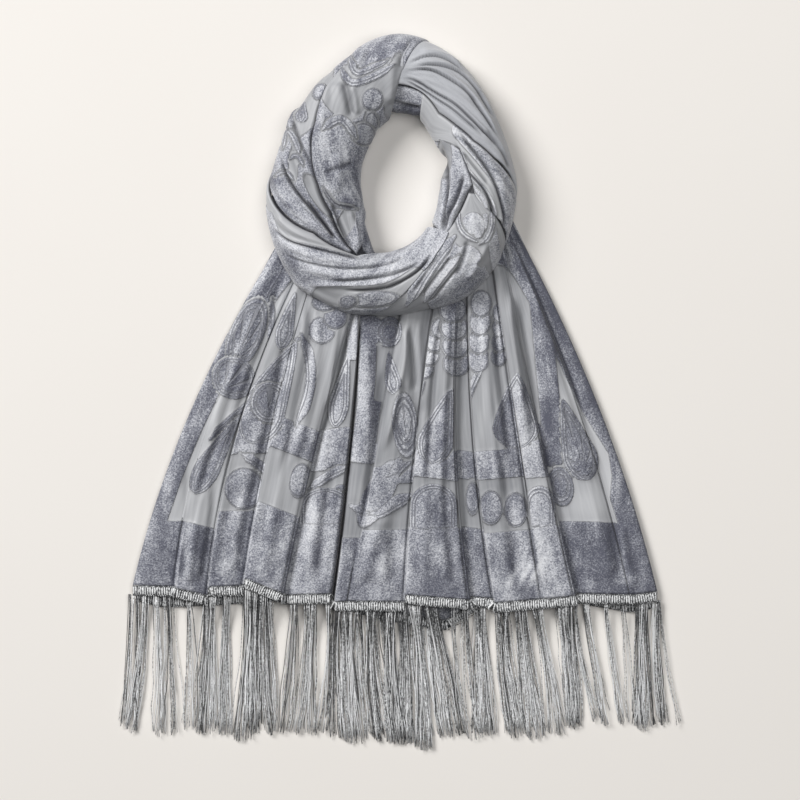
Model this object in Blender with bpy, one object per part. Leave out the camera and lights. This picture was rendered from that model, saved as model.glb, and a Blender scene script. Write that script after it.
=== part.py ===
"""Burnout velvet shawl, laid flat: a wound neck loop, two ends one on the other, braid and fringe.

The model is in metres, +Z up, and lies on z = 0. X runs across the shawl and Y up towards the loop.
The origin is on the surface, under the middle of the whole outline.
Driving dimensions are in millimetres and are turned into metres where a mesh is made.
"""
import math
import random

import bmesh
import bpy
import numpy as np
from mathutils import Vector

MM = 0.001

# Cloth
SEAM_GAP = 0.3
WALL = 2.2
STEEP_WALL_LIMIT = 1.7
BACK_THICKNESS = 2.5

# Neck loop: a flattened round section that stands on its flat underside
LOOP_CENTRE = (-0.5, 207.5)
LOOP_HEIGHT = 38.0
LOOP_WAIST = 0.42
CORE_INSET = 6.5
LOOP_STEP_DEGREES = 7.5
SEAM_SHARE = 0.009
END_GAP_DEGREES = 0.45
CORE_SECTION_POINTS = 13
CORE_SHRINK = 0.8

# Outline of the loop: angle in degrees from +X, radius of the neck opening, radius outside
LOOP_OUTLINE = (
    (0, 41.8, 117.8),
    (15, 45.7, 115.4),
    (30, 51.6, 117.1),
    (45, 53.8, 124.2),
    (60, 60.8, 134.4),
    (75, 70.5, 144.0),
    (90, 70.4, 149.0),
    (105, 64.0, 142.4),
    (120, 53.5, 133.9),
    (135, 47.3, 128.4),
    (150, 43.3, 127.0),
    (165, 40.5, 125.6),
    (180, 39.3, 129.3),
    (195, 39.2, 132.5),
    (210, 41.7, 136.0),
    (225, 46.0, 139.0),
    (240, 56.0, 135.6),
    (255, 70.0, 132.0),
    (270, 66.0, 128.5),
    (285, 60.5, 125.5),
    (300, 55.0, 127.1),
    (315, 47.9, 126.6),
    (330, 43.4, 122.0),
    (345, 40.8, 118.9),
)

# Where one turn of the loop meets the next: angle, share of the way round the section.
# A share of 0 is the rim of the neck opening, 0.5 the top and 1 the outer rim.
FOOT_INSIDE = -0.2
FOOT_OUTSIDE = 1.2
FOOT_OVER_ENDS = 1.12
BROAD_OUTER_EDGE = (
    (90, 1.2), (97.5, 1.07), (105, 0.95), (112.5, 0.84), (127.5, 0.76), (142.5, 0.64), (165, 0.54),
    (180, 0.46), (202.5, 0.385), (240, 0.37),
)
BROAD_INNER_EDGE = (
    (90, -0.2), (202.5, -0.2), (210, -0.1), (217.5, 0.0), (225, 0.08), (232.5, 0.17), (240, 0.27),
    (247.5, 0.34),
)
FRONT_UPPER_EDGE = (
    (165, 1.2), (172.5, 1.1), (180, 0.99), (187.5, 0.87), (195, 0.76), (202.5, 0.66), (210, 0.56), (225, 0.47), (240, 0.38),
    (247.5, 0.25), (255, 0.09), (262.5, -0.06), (270, -0.2),
)
PUFFED_LEFT_EDGE = (
    (247.5, 1.12), (255, 0.97), (262.5, 0.82), (270, 0.67), (277.5, 0.56), (285, 0.48), (300, 0.38),
    (322.5, 0.34), (345, 0.42),
)
PLEATED_LOWER_EDGE = (
    (-15, 1.12), (-7.5, 1.03), (0, 0.92), (7.5, 0.81), (15, 0.7), (30, 0.53), (60, 0.355), (90, 0.41),
)
INNER_FOLDS_EDGE = ((-22.5, 0.3), (0, 0.46), (30, 0.36), (60, 0.14))

# Turns of the loop: from and to angle, inner edge, outer edge, how far the cloth stands off the
# layers below it, and the number of steps across it
LOOP_TURNS = (
    ("broad_left_turn", 90, 240, "broad_inner", "broad_outer", 5.4, 12),
    ("left_under_turn", 105, 232.5, "broad_outer", "front_upper", 3.4, 8),
    ("front_lower_turn", 172.5, 337.5, "front_upper", "puffed_or_ends", 4.8, 11),
    ("lower_right_turn", 255, 345, "puffed_left", "over_ends", 4.2, 8),
    ("right_pleated_turn", 0, 90, "pleated_lower", "foot_outside", 5.4, 10),
    ("right_velvet_turn", -15, 60, "inner_folds", "pleated_or_foot", 3.2, 6),
    ("inner_right_folds", -22.5, 60, "foot_inside", "inner_folds", 3.0, 6),
    ("neck_back_turn", 60, 90, "foot_inside", "pleated_lower", 2.2, 5),
    ("inner_left_strip", 210, 262.5, "foot_inside", "broad_or_front", 2.2, 5),
)

# Creases along the turns: turn, from angle, share there, to angle, share there, half width, depth
LOOP_CREASES = (
    ("broad_left_turn", 96, 0.62, 128, 0.5, 7.0, 2.6),
    ("broad_left_turn", 128, 0.5, 186, 0.24, 6.0, 1.8),
    ("left_under_turn", 128, 0.94, 186, 0.7, 6.0, 2.4),
    ("left_under_turn", 160, 0.66, 216, 0.5, 5.0, 2.0),
    ("front_lower_turn", 198, 0.92, 282, 0.3, 5.0, 3.2),
    ("front_lower_turn", 214, 0.98, 290, 0.42, 5.0, 2.6),
    ("front_lower_turn", 228, 0.68, 330, 0.02, 6.0, 2.2),
    ("lower_right_turn", 276, 0.72, 330, 0.62, 8.0, 1.6),
    ("right_pleated_turn", 84, 0.56, 24, 0.7, 4.5, 2.8),
    ("right_pleated_turn", 84, 0.7, 18, 0.86, 4.5, 3.0),
    ("right_pleated_turn", 82, 0.86, 30, 1.0, 5.0, 2.4),
    ("right_velvet_turn", 52, 0.3, -12, 0.72, 5.0, 2.0),
    ("inner_right_folds", 52, 0.08, -18, 0.14, 5.0, 2.0),
)

# Creases of the front end, left to right. Each has the angle at which it leaves the loop, its X half
# way down and at the hem, the cloth's height to its left and right at the neck and at the hem,
# the crown of the cloth to its right, and the hem's Y to its left and right.
PLEATS = (
    # name, neck angle, mid x, hem x, left neck, left hem, right neck, right hem, crown, hem y left, right
    ("left_edge", 205.0, -208.5, -265.5, 0.0, 0.0, 0.0, 0.0, 1.6, -191.5, -191.5),
    ("small_hem_pleat", 214.0, -186.5, -222.5, 0.4, 0.8, 0.4, 3.6, 1.0, -192.5, -194.5),
    ("first_pleat", 221.8, -160.5, -190.5, 0.6, 0.8, 6.5, 5.0, 1.8, -201.5, -192.5),
    ("second_pleat", 229.0, -126.5, -154.5, 4.5, 1.0, 4.5, 5.5, 1.2, -191.5, -184.5),
    ("shadowed_pleat", 249.1, -83.5, -114.5, 8.5, 5.0, 1.0, 0.8, 2.0, -199.5, -200.5),
    ("deep_valley", 253.0, -48.5, -65.5, 5.5, 5.0, 0.0, 0.0, 3.0, -199.5, -207.5),
    ("fading_pleat", 272.2, -22.5, -48.5, 1.0, 2.6, 8.0, 3.0, 1.8, -207.0, -207.0),
    ("middle_pleat", 287.9, 17.5, 6.5, 1.2, 1.0, 5.0, 6.0, 1.6, -207.5, -200.5),
    ("valley_left", 300.0, 57.5, 71.5, 6.5, 5.5, 0.8, 0.8, 0.6, -205.5, -202.5),
    ("valley_right", 305.2, 76.0, 95.5, 0.8, 0.8, 6.5, 5.2, 1.6, -204.5, -208.5),
    ("paisley_pleat", 322.5, 118.5, 144.5, 1.2, 3.0, 7.0, 3.4, 1.2, -204.5, -204.5),
    ("lit_pleat", 333.0, 137.5, 176.5, 4.0, 6.0, 1.0, 0.8, 1.6, -201.5, -199.5),
    ("side_fold", 339.4, 182.5, 233.5, 6.5, 2.2, 1.0, 1.6, 0.8, -200.5, -200.5),
    ("right_edge", 345.4, 198.5, 258.5, 0.0, 0.0, 0.0, 0.0, 0.0, -197.5, -197.5),
)
STEP_HALF_WIDTH = 2.6
PANEL_POINTS = 3
FAN_ROWS = 11
NECK_CLEARANCE = 1.2
FAN_FULLNESS = 1.6

# Hem of the back end: X, Y of the cloth's lower edge
BACK_HEM = (
    (-262.0, -197.0), (-235.0, -203.5), (-175.0, -201.0), (-98.5, -194.5), (-13.5, -216.5),
    (46.5, -226.5), (81.5, -204.5), (161.5, -196.5), (231.5, -208.5), (256.0, -204.0),
)
BACK_SIDE_INSET = 4.0
BACK_COLUMNS = 26
BACK_ROWS = 6
BACK_CORE_CLEARANCE = 0.6

# Braid and fringe
BRAID_HEIGHT = 10.0
FRONT_STRANDS = 84
BACK_STRANDS = 66
ROOT_SHARE = 0.45
STRAND_WIDTH = 1.5
STRAND_DEPTH = 1.1
BEND_SHARE = 0.42
FLARE_LEFT = 0.047
FLARE_RIGHT = 0.075
SWAY = 2.2
FRONT_STRAND_FLOOR = 3.1
BACK_STRAND_FLOOR = 0.6
STRAND_ENDS = (
    (-277.5, -333.0), (-240.0, -337.0), (-98.5, -338.0), (-67.5, -330.0), (-37.5, -348.0),
    (3.5, -346.0), (21.0, -358.0), (42.0, -338.0), (77.5, -346.0), (103.0, -337.0),
    (144.5, -342.0), (177.0, -331.0), (240.5, -330.0), (278.5, -336.0),
)
STRAND_SHORTFALL = 12.0
FRINGE_SEED = 7

# Finishes: base colour, roughness
COLOURS = {
    "velvet_mid": ((0.30, 0.32, 0.37, 1.0), 0.75),
    "velvet_dark": ((0.19, 0.20, 0.25, 1.0), 0.80),
    "satin_ground": ((0.40, 0.41, 0.43, 1.0), 0.45),
    "braid_silver": ((0.44, 0.46, 0.46, 1.0), 0.55),
}
FINISHES = {
    "loop_core": "velvet_dark",
    "broad_left_turn": "velvet_mid",
    "left_under_turn": "velvet_mid",
    "front_lower_turn": "satin_ground",
    "lower_right_turn": "satin_ground",
    "right_pleated_turn": "satin_ground",
    "right_velvet_turn": "velvet_dark",
    "inner_right_folds": "velvet_mid",
    "neck_back_turn": "velvet_dark",
    "inner_left_strip": "velvet_dark",
    "front_end": "velvet_mid",
    "back_end": "velvet_dark",
    "braid_fringe_front": "braid_silver",
    "braid_fringe_back": "braid_silver",
}


def table_value(table, key, column=1):
    """Read a column of a table at a key, in straight lines between its rows."""
    return float(np.interp(key, [row[0] for row in table], [row[column] for row in table]))


def smooth(share):
    """An S-shaped rise from 0 to 1."""
    share = min(max(share, 0.0), 1.0)
    return share * share * (3.0 - 2.0 * share)


def loop_radii(angle):
    """Radius of the neck opening and of the outer rim, as smooth curves through the outline."""
    step = 360.0 / len(LOOP_OUTLINE)
    place = (angle % 360.0) / step
    first = int(place)
    share = place - first
    radii = []
    for column in (1, 2):
        before, start, end, after = (
            LOOP_OUTLINE[(first + shift) % len(LOOP_OUTLINE)][column] for shift in (-1, 0, 1, 2)
        )
        slope_in = (end - before) / 2.0
        slope_out = (after - start) / 2.0
        rise = end - start
        curve = start + slope_in * share
        curve += (3.0 * rise - 2.0 * slope_in - slope_out) * share ** 2
        curve += (slope_in + slope_out - 2.0 * rise) * share ** 3
        radii.append(curve)
    return radii


def loop_point(angle, share, offset):
    """A point of the loop's section: share 0 is the inner rim, 0.5 the top, 1 the outer rim."""
    inside, outside = loop_radii(angle)
    half = (outside - inside) / 2.0 - CORE_INSET
    rise = LOOP_HEIGHT * (1.0 - LOOP_WAIST)
    turn = math.pi * share
    normal = np.array((-math.cos(turn) / half, math.sin(turn) / rise))
    normal /= np.linalg.norm(normal)
    radius = (inside + outside) / 2.0 - half * math.cos(turn) + offset * normal[0]
    height = LOOP_HEIGHT * LOOP_WAIST + rise * math.sin(turn) + offset * normal[1]
    direction = math.radians(angle)
    return (
        LOOP_CENTRE[0] + radius * math.cos(direction),
        LOOP_CENTRE[1] + radius * math.sin(direction),
        height,
    )


def section_length(angle):
    """About how long the section is from rim to rim, over the top."""
    inside, outside = loop_radii(angle)
    half = (outside - inside) / 2.0 - CORE_INSET
    return math.pi * (half + LOOP_HEIGHT * (1.0 - LOOP_WAIST)) / 2.0


def edge_share(edge, angle):
    """Where a named edge of a turn runs, as a share of the way round the section."""
    wide = angle % 360.0
    over_ends = FOOT_OVER_ENDS if 180.0 < wide < 352.0 else FOOT_OUTSIDE
    lower = angle if angle < 180.0 else angle - 360.0
    edges = {
        "foot_inside": lambda: FOOT_INSIDE,
        "foot_outside": lambda: FOOT_OUTSIDE,
        "over_ends": lambda: over_ends,
        "broad_outer": lambda: table_value(BROAD_OUTER_EDGE, wide),
        "broad_inner": lambda: table_value(BROAD_INNER_EDGE, wide),
        "front_upper": lambda: table_value(FRONT_UPPER_EDGE, wide),
        "puffed_left": lambda: table_value(PUFFED_LEFT_EDGE, wide),
        "puffed_or_ends": lambda: min(over_ends, table_value(PUFFED_LEFT_EDGE, wide)),
        "pleated_lower": lambda: table_value(PLEATED_LOWER_EDGE, lower),
        "pleated_or_foot": lambda: min(over_ends, table_value(PLEATED_LOWER_EDGE, lower)),
        "inner_folds": lambda: table_value(INNER_FOLDS_EDGE, lower),
        "broad_or_front": lambda: min(
            table_value(BROAD_INNER_EDGE, wide), table_value(FRONT_UPPER_EDGE, wide)
        ),
    }
    return edges[edge]()


def collection_for(name):
    collection = bpy.data.collections.new(name)
    bpy.context.scene.collection.children.link(collection)
    return collection


def finish_for(name):
    finish = FINISHES[name]
    material = bpy.data.materials.get(finish)
    if material is None:
        colour, roughness = COLOURS[finish]
        material = bpy.data.materials.new(finish)
        material.use_nodes = True
        shader = material.node_tree.nodes["Principled BSDF"]
        shader.inputs["Base Color"].default_value = colour
        shader.inputs["Roughness"].default_value = roughness
        shader.inputs["Metallic"].default_value = 0.0
    return material


def object_from(shape, name, collection):
    """Make a named object with its own finish from a bmesh in millimetres."""
    bmesh.ops.recalc_face_normals(shape, faces=shape.faces[:])
    bmesh.ops.scale(shape, vec=(MM, MM, MM), verts=shape.verts[:])
    mesh = bpy.data.meshes.new(name)
    shape.to_mesh(mesh)
    shape.free()
    mesh.shade_smooth()
    mesh.set_sharp_from_angle(angle=math.radians(50.0))
    mesh.materials.append(finish_for(name))
    item = bpy.data.objects.new(name, mesh)
    collection.objects.link(item)
    return item


def cloth_between(top, under):
    """Close two grids of points, rows by columns, into one wall of cloth."""
    rows, columns = top.shape[:2]
    shape = bmesh.new()
    skins = []
    for grid in (top, under):
        skins.append([[shape.verts.new(point) for point in row] for row in grid])
    for row in range(rows - 1):
        for column in range(columns - 1):
            for skin in skins:
                shape.faces.new(
                    (
                        skin[row][column],
                        skin[row][column + 1],
                        skin[row + 1][column + 1],
                        skin[row + 1][column],
                    )
                )
    rim = [(0, column) for column in range(columns)]
    rim += [(row, columns - 1) for row in range(1, rows)]
    rim += [(rows - 1, column) for column in range(columns - 2, -1, -1)]
    rim += [(row, 0) for row in range(rows - 2, 0, -1)]
    upper, lower = skins
    for here, there in zip(rim, rim[1:] + rim[:1]):
        shape.faces.new(
            (
                upper[here[0]][here[1]],
                upper[there[0]][there[1]],
                lower[there[0]][there[1]],
                lower[here[0]][here[1]],
            )
        )
    return shape


def loop_core(collection):
    """The hidden layers of the loop: a ring of flattened round sections with a flat underside."""
    foot = math.asin(LOOP_WAIST / (1.0 - LOOP_WAIST)) / math.pi
    shares = np.linspace(-foot, 1.0 + foot, CORE_SECTION_POINTS)
    steps = int(360.0 / LOOP_STEP_DEGREES)
    shape = bmesh.new()
    rings = []
    for step in range(steps):
        angle = step * LOOP_STEP_DEGREES
        points = [loop_point(angle, share, -CORE_SHRINK) for share in shares]
        points[0] = (points[0][0], points[0][1], 0.0)
        points[-1] = (points[-1][0], points[-1][1], 0.0)
        rings.append([shape.verts.new(point) for point in points])
    for ring, following in zip(rings, rings[1:] + rings[:1]):
        for here in range(CORE_SECTION_POINTS):
            there = (here + 1) % CORE_SECTION_POINTS
            shape.faces.new((ring[here], ring[there], following[there], following[here]))
    return object_from(shape, "loop_core", collection)


def crease_depth(turn, angle, share):
    """How deep the creases of a turn press it in at a place."""
    depth = 0.0
    for name, start, share_start, end, share_end, half_width, full_depth in LOOP_CREASES:
        if name != turn:
            continue
        along = (angle - start) / (end - start)
        if not -0.15 < along < 1.15:
            continue
        centre = share_start + (share_end - share_start) * along
        distance = (share - centre) * section_length(angle) / half_width
        fade = smooth((along + 0.15) / 0.3) * smooth((1.15 - along) / 0.3)
        depth += full_depth * fade * math.exp(-distance ** 2)
    return depth


def loop_turn(turn, collection):
    """One stretch of cloth round the loop, rolled down to the layers below at its edges."""
    name, start, end, inner_edge, outer_edge, lift, across = turn
    steps = max(2, round((end - start) / LOOP_STEP_DEGREES))
    top, under = [], []
    for step in range(steps + 1):
        angle = start + (end - start) * step / steps
        first = edge_share(inner_edge, angle)
        last = edge_share(outer_edge, angle)
        if step == 0:
            angle += END_GAP_DEGREES
        if step == steps:
            angle -= END_GAP_DEGREES
        along = step / steps
        end_roll = 1.0 - 0.6 * abs(2.0 * along - 1.0) ** 10
        top_row, under_row = [], []
        for place in range(across + 1):
            over = place / across
            share = first + SEAM_SHARE + (last - first - 2.0 * SEAM_SHARE) * over
            roll = (1.0 - abs(2.0 * over - 1.0) ** 5) * end_roll
            press = min(crease_depth(name, angle, share), lift * 0.85)
            offset = SEAM_GAP + (lift - press) * roll
            under_row.append(loop_point(angle, share, offset))
            top_row.append(loop_point(angle, share, offset + WALL))
        top.append(top_row)
        under.append(under_row)
    return object_from(cloth_between(np.array(top), np.array(under)), name, collection)


def neck_point(angle, clearance):
    """A point just outside the loop's outer rim, seen from above."""
    radius = loop_radii(angle)[1] + clearance
    direction = math.radians(angle)
    return np.array(
        (
            LOOP_CENTRE[0] + radius * math.cos(direction),
            LOOP_CENTRE[1] + radius * math.sin(direction),
        )
    )


def fan_columns():
    """Columns of the front end, left to right: neck angle, mid x, hem x, hem y, and two heights."""
    columns = []
    for index, pleat in enumerate(PLEATS):
        name, angle, mid, hem, left_neck, left_hem, right_neck, right_hem = pleat[:8]
        crown, hem_left, hem_right = pleat[8:]
        if index in (0, len(PLEATS) - 1):
            columns.append((angle, mid, hem, hem_left, left_neck, left_hem))
        else:
            narrow = min(hem - PLEATS[index - 1][3], PLEATS[index + 1][3] - hem)
            narrow_neck = min(angle - PLEATS[index - 1][1], PLEATS[index + 1][1] - angle)
            half = min(STEP_HALF_WIDTH, 0.25 * narrow)
            half_angle = min(1.2, 0.22 * narrow_neck)
            for place in (-1.0, -0.34, 0.34, 1.0):
                blend = smooth((place + 1.0) / 2.0)
                columns.append(
                    (
                        angle + place * half_angle,
                        mid + place * half,
                        hem + place * half,
                        hem_left + (hem_right - hem_left) * blend,
                        left_neck + (right_neck - left_neck) * blend,
                        left_hem + (right_hem - left_hem) * blend,
                    )
                )
        if index == len(PLEATS) - 1:
            continue
        following = PLEATS[index + 1]
        start = columns[-1]
        stop = (
            following[1], following[2], following[3], following[9], following[4], following[5],
        )
        for step in range(1, PANEL_POINTS + 1):
            share = step / (PANEL_POINTS + 1)
            point = [low + (high - low) * share for low, high in zip(start, stop)]
            bulge = crown * math.sin(math.pi * share)
            point[4] += bulge
            point[5] += bulge
            columns.append(tuple(point))
    return columns


def fan_point(column, down):
    """A point on the top of the front end: down is 0 at the loop and 1 at the hem."""
    angle, mid, hem, hem_y, neck_height, hem_height = column
    neck = neck_point(angle, NECK_CLEARANCE)
    middle_y = (neck[1] + hem_y) / 2.0
    weights = (
        (1.0 - down) * (1.0 - 2.0 * down),
        4.0 * down * (1.0 - down),
        down * (2.0 * down - 1.0),
    )
    x = neck[0] * weights[0] + mid * weights[1] + hem * weights[2]
    y = neck[1] * weights[0] + middle_y * weights[1] + hem_y * weights[2]
    height = neck_height + (hem_height - neck_height) * smooth(down)
    return x, y, BACK_THICKNESS + SEAM_GAP + WALL + height * FAN_FULLNESS


def under_side(top):
    """The underside of a pleated wall: straight below its top, thicker where the wall is steep."""
    across = np.gradient(top, axis=1)
    run = np.hypot(across[:, :, 0], across[:, :, 1])
    steep = np.sqrt(1.0 + (across[:, :, 2] / np.maximum(run, 0.01)) ** 2)
    under = top.copy()
    under[:, :, 2] -= WALL * np.minimum(steep, STEEP_WALL_LIMIT)
    under[:, :, 2] = np.maximum(under[:, :, 2], BACK_THICKNESS + SEAM_GAP)
    return under


def front_end(collection):
    columns = fan_columns()
    top = [[fan_point(column, row / FAN_ROWS) for column in columns] for row in range(FAN_ROWS + 1)]
    top = np.array(top)
    return object_from(cloth_between(top, under_side(top)), "front_end", collection)


def back_neck_point(angle):
    """Where the back end stops, just clear of the hidden layers under the loop's outer rim."""
    inside, outside = loop_radii(angle)
    half = (outside - inside) / 2.0 - CORE_INSET
    rise = LOOP_HEIGHT * (1.0 - LOOP_WAIST)
    drop = (LOOP_HEIGHT * LOOP_WAIST - BACK_THICKNESS) / rise
    radius = (inside + outside) / 2.0 + half * math.sqrt(1.0 - drop ** 2) + BACK_CORE_CLEARANCE
    direction = math.radians(angle)
    return np.array(
        (
            LOOP_CENTRE[0] + radius * math.cos(direction),
            LOOP_CENTRE[1] + radius * math.sin(direction),
        )
    )


def back_end(collection):
    """The end against the surface: a flat wall, a little narrower than the one that lies on it."""
    left, right = PLEATS[0], PLEATS[-1]
    top = []
    for row in range(BACK_ROWS + 1):
        down = row / BACK_ROWS
        line = []
        for column in range(BACK_COLUMNS + 1):
            share = column / BACK_COLUMNS
            neck = back_neck_point(left[1] + (right[1] - left[1]) * share)
            inset = BACK_SIDE_INSET * (1.0 - 2.0 * share)
            mid = left[2] + (right[2] - left[2]) * share + inset
            hem = left[3] + (right[3] - left[3]) * share + inset
            hem_y = table_value(BACK_HEM, hem)
            middle_y = (neck[1] + hem_y) / 2.0
            first = (1.0 - down) * (1.0 - 2.0 * down)
            middle = 4.0 * down * (1.0 - down)
            last = down * (2.0 * down - 1.0)
            line.append(
                (
                    neck[0] * first + mid * middle + hem * last,
                    neck[1] * first + middle_y * middle + hem_y * last,
                    BACK_THICKNESS,
                )
            )
        top.append(line)
    top = np.array(top)
    under = top.copy()
    under[:, :, 2] = 0.0
    return object_from(cloth_between(top, under), "back_end", collection)


def points_along(line, strands):
    """Points along a hem, in pairs: the width of a strand's root, then the gap to the next."""
    lengths = np.concatenate(([0.0], np.cumsum(np.linalg.norm(np.diff(line, axis=0), axis=1))))
    pitch = lengths[-1] / (strands - 1 + ROOT_SHARE)
    places = []
    for strand in range(strands):
        places.append(strand * pitch)
        places.append((strand + ROOT_SHARE) * pitch)
    return np.array([[np.interp(place, lengths, line[:, axis]) for axis in range(3)] for place in places])


def braid_with_fringe(name, hem_line, thickness, strands, floor, seed, collection):
    """A narrow braid sewn along a hem, with a strand drawn out of its lower edge at every root."""
    draw = random.Random(seed)
    line = points_along(hem_line, strands)
    bounds = np.concatenate(([line[0, 0]], line[:, 0], [line[-1, 0]]))
    for place in range(len(line)):
        near = (hem_line[:, 0] >= bounds[place]) & (hem_line[:, 0] <= bounds[place + 2])
        line[place, 1] = min(line[place, 1], hem_line[near, 1].min(initial=line[place, 1])) - SEAM_GAP
    lower = line.copy()
    lower[:, 1] -= BRAID_HEIGHT
    top = np.array((line, lower))
    under = top.copy()
    under[:, :, 2] -= thickness
    shape = cloth_between(top, under)
    bmesh.ops.recalc_face_normals(shape, faces=shape.faces[:])
    for strand in range(strands):
        first, second = lower[2 * strand], lower[2 * strand + 1]
        centre = (first + second) / 2.0
        centre[2] -= thickness / 2.0
        root = min(
            (face for face in shape.faces if face.normal.y < -0.3),
            key=lambda face: (face.calc_center_median() - Vector(centre)).length,
        )
        flare = FLARE_LEFT if centre[0] < 0.0 else FLARE_RIGHT
        end_x = centre[0] * (1.0 + flare) + draw.uniform(-SWAY, SWAY) * 0.5
        end_y = table_value(STRAND_ENDS, end_x) + STRAND_SHORTFALL * draw.random() ** 2
        sway = draw.uniform(-SWAY, SWAY) * 0.4
        end_z = floor + STRAND_DEPTH / 2.0
        for share, taper in ((BEND_SHARE, 1.0), (1.0, 0.8)):
            root = bmesh.ops.extrude_discrete_faces(shape, faces=[root])["faces"][0]
            middle = np.array(
                (
                    centre[0] + (end_x - centre[0]) * share + sway * (1.0 - share),
                    centre[1] + (end_y - centre[1]) * share,
                    end_z if share == 1.0 else max(end_z, end_z + (centre[2] - end_z) * 0.25),
                )
            )
            corners = sorted(root.verts, key=lambda vert: vert.co.x)
            for side, pair in ((-0.5, corners[:2]), (0.5, corners[2:])):
                for level, vert in zip((-0.5, 0.5), sorted(pair, key=lambda vert: vert.co.z)):
                    vert.co = (
                        middle[0] + side * STRAND_WIDTH * taper,
                        middle[1],
                        middle[2] + level * STRAND_DEPTH * taper,
                    )
            root.normal_update()
    return object_from(shape, name, collection)


def main():
    for item in list(bpy.data.objects):
        bpy.data.objects.remove(item, do_unlink=True)
    collection = collection_for("burnout_velvet_shawl")
    loop_core(collection)
    for turn in LOOP_TURNS:
        loop_turn(turn, collection)
    back_end(collection)
    front_end(collection)
    front_hem = np.array([fan_point(column, 1.0) for column in fan_columns()])
    braid_with_fringe(
        "braid_fringe_front", front_hem, WALL, FRONT_STRANDS, FRONT_STRAND_FLOOR, FRINGE_SEED, collection
    )
    left, right = PLEATS[0][3] + BACK_SIDE_INSET, PLEATS[-1][3] - BACK_SIDE_INSET
    back_x = np.linspace(left, right, BACK_COLUMNS + 1)
    back_hem = np.array([(x, table_value(BACK_HEM, x), BACK_THICKNESS) for x in back_x])
    braid_with_fringe(
        "braid_fringe_back",
        back_hem,
        BACK_THICKNESS,
        BACK_STRANDS,
        BACK_STRAND_FLOOR,
        FRINGE_SEED + 1,
        collection,
    )


main()
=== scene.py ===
import math
import random

import bpy
import numpy as np
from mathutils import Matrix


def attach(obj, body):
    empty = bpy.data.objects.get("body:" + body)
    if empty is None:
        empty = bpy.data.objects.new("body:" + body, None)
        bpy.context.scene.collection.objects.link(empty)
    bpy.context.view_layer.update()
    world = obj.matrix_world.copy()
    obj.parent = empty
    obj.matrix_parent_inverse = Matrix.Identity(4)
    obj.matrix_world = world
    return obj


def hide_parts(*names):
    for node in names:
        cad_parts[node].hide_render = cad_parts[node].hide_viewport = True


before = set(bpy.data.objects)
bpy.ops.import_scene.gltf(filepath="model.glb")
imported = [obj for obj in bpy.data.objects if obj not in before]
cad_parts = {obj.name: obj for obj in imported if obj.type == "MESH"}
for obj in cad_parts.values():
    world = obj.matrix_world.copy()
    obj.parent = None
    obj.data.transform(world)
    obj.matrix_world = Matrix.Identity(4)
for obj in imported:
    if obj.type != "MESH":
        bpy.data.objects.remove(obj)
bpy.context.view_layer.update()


# Front end of the shawl.
# The upper of the two ends: burnout velvet, pile left standing on a thin satin ground, gathered under
# the neck loop and laid out in soft knife pleats. The pleats are pressed by hand, not sewn.

MM = 0.001
LOOP_CENTRE = (-0.5, 207.5)
LOOP_OUTLINE = (
    # angle, radius of the neck opening, radius of the outer rim
    (0, 41.8, 117.8), (15, 45.7, 115.4), (30, 51.6, 117.1), (45, 53.8, 124.2),
    (60, 60.8, 134.4), (75, 70.5, 144.0), (90, 70.4, 149.0), (105, 64.0, 142.4),
    (120, 53.5, 133.9), (135, 47.3, 128.4), (150, 43.3, 127.0), (165, 40.5, 125.6),
    (180, 39.3, 129.3), (195, 39.2, 132.5), (210, 41.7, 136.0), (225, 46.0, 139.0),
    (240, 56.0, 135.6), (255, 70.0, 132.0), (270, 66.0, 128.5), (285, 60.5, 125.5),
    (300, 55.0, 127.1), (315, 47.9, 126.6), (330, 43.4, 122.0), (345, 40.8, 118.9),
)
FRONT_BASE = 5.0
FRONT_LOWEST = 3.9
FRONT_FULLNESS = 1.6
FRONT_THICKNESS = 1.0
FRONT_ROWS = 150
PILE_HEIGHT = 0.8
FRONT_FOLD_GAIN = 1.35

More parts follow.
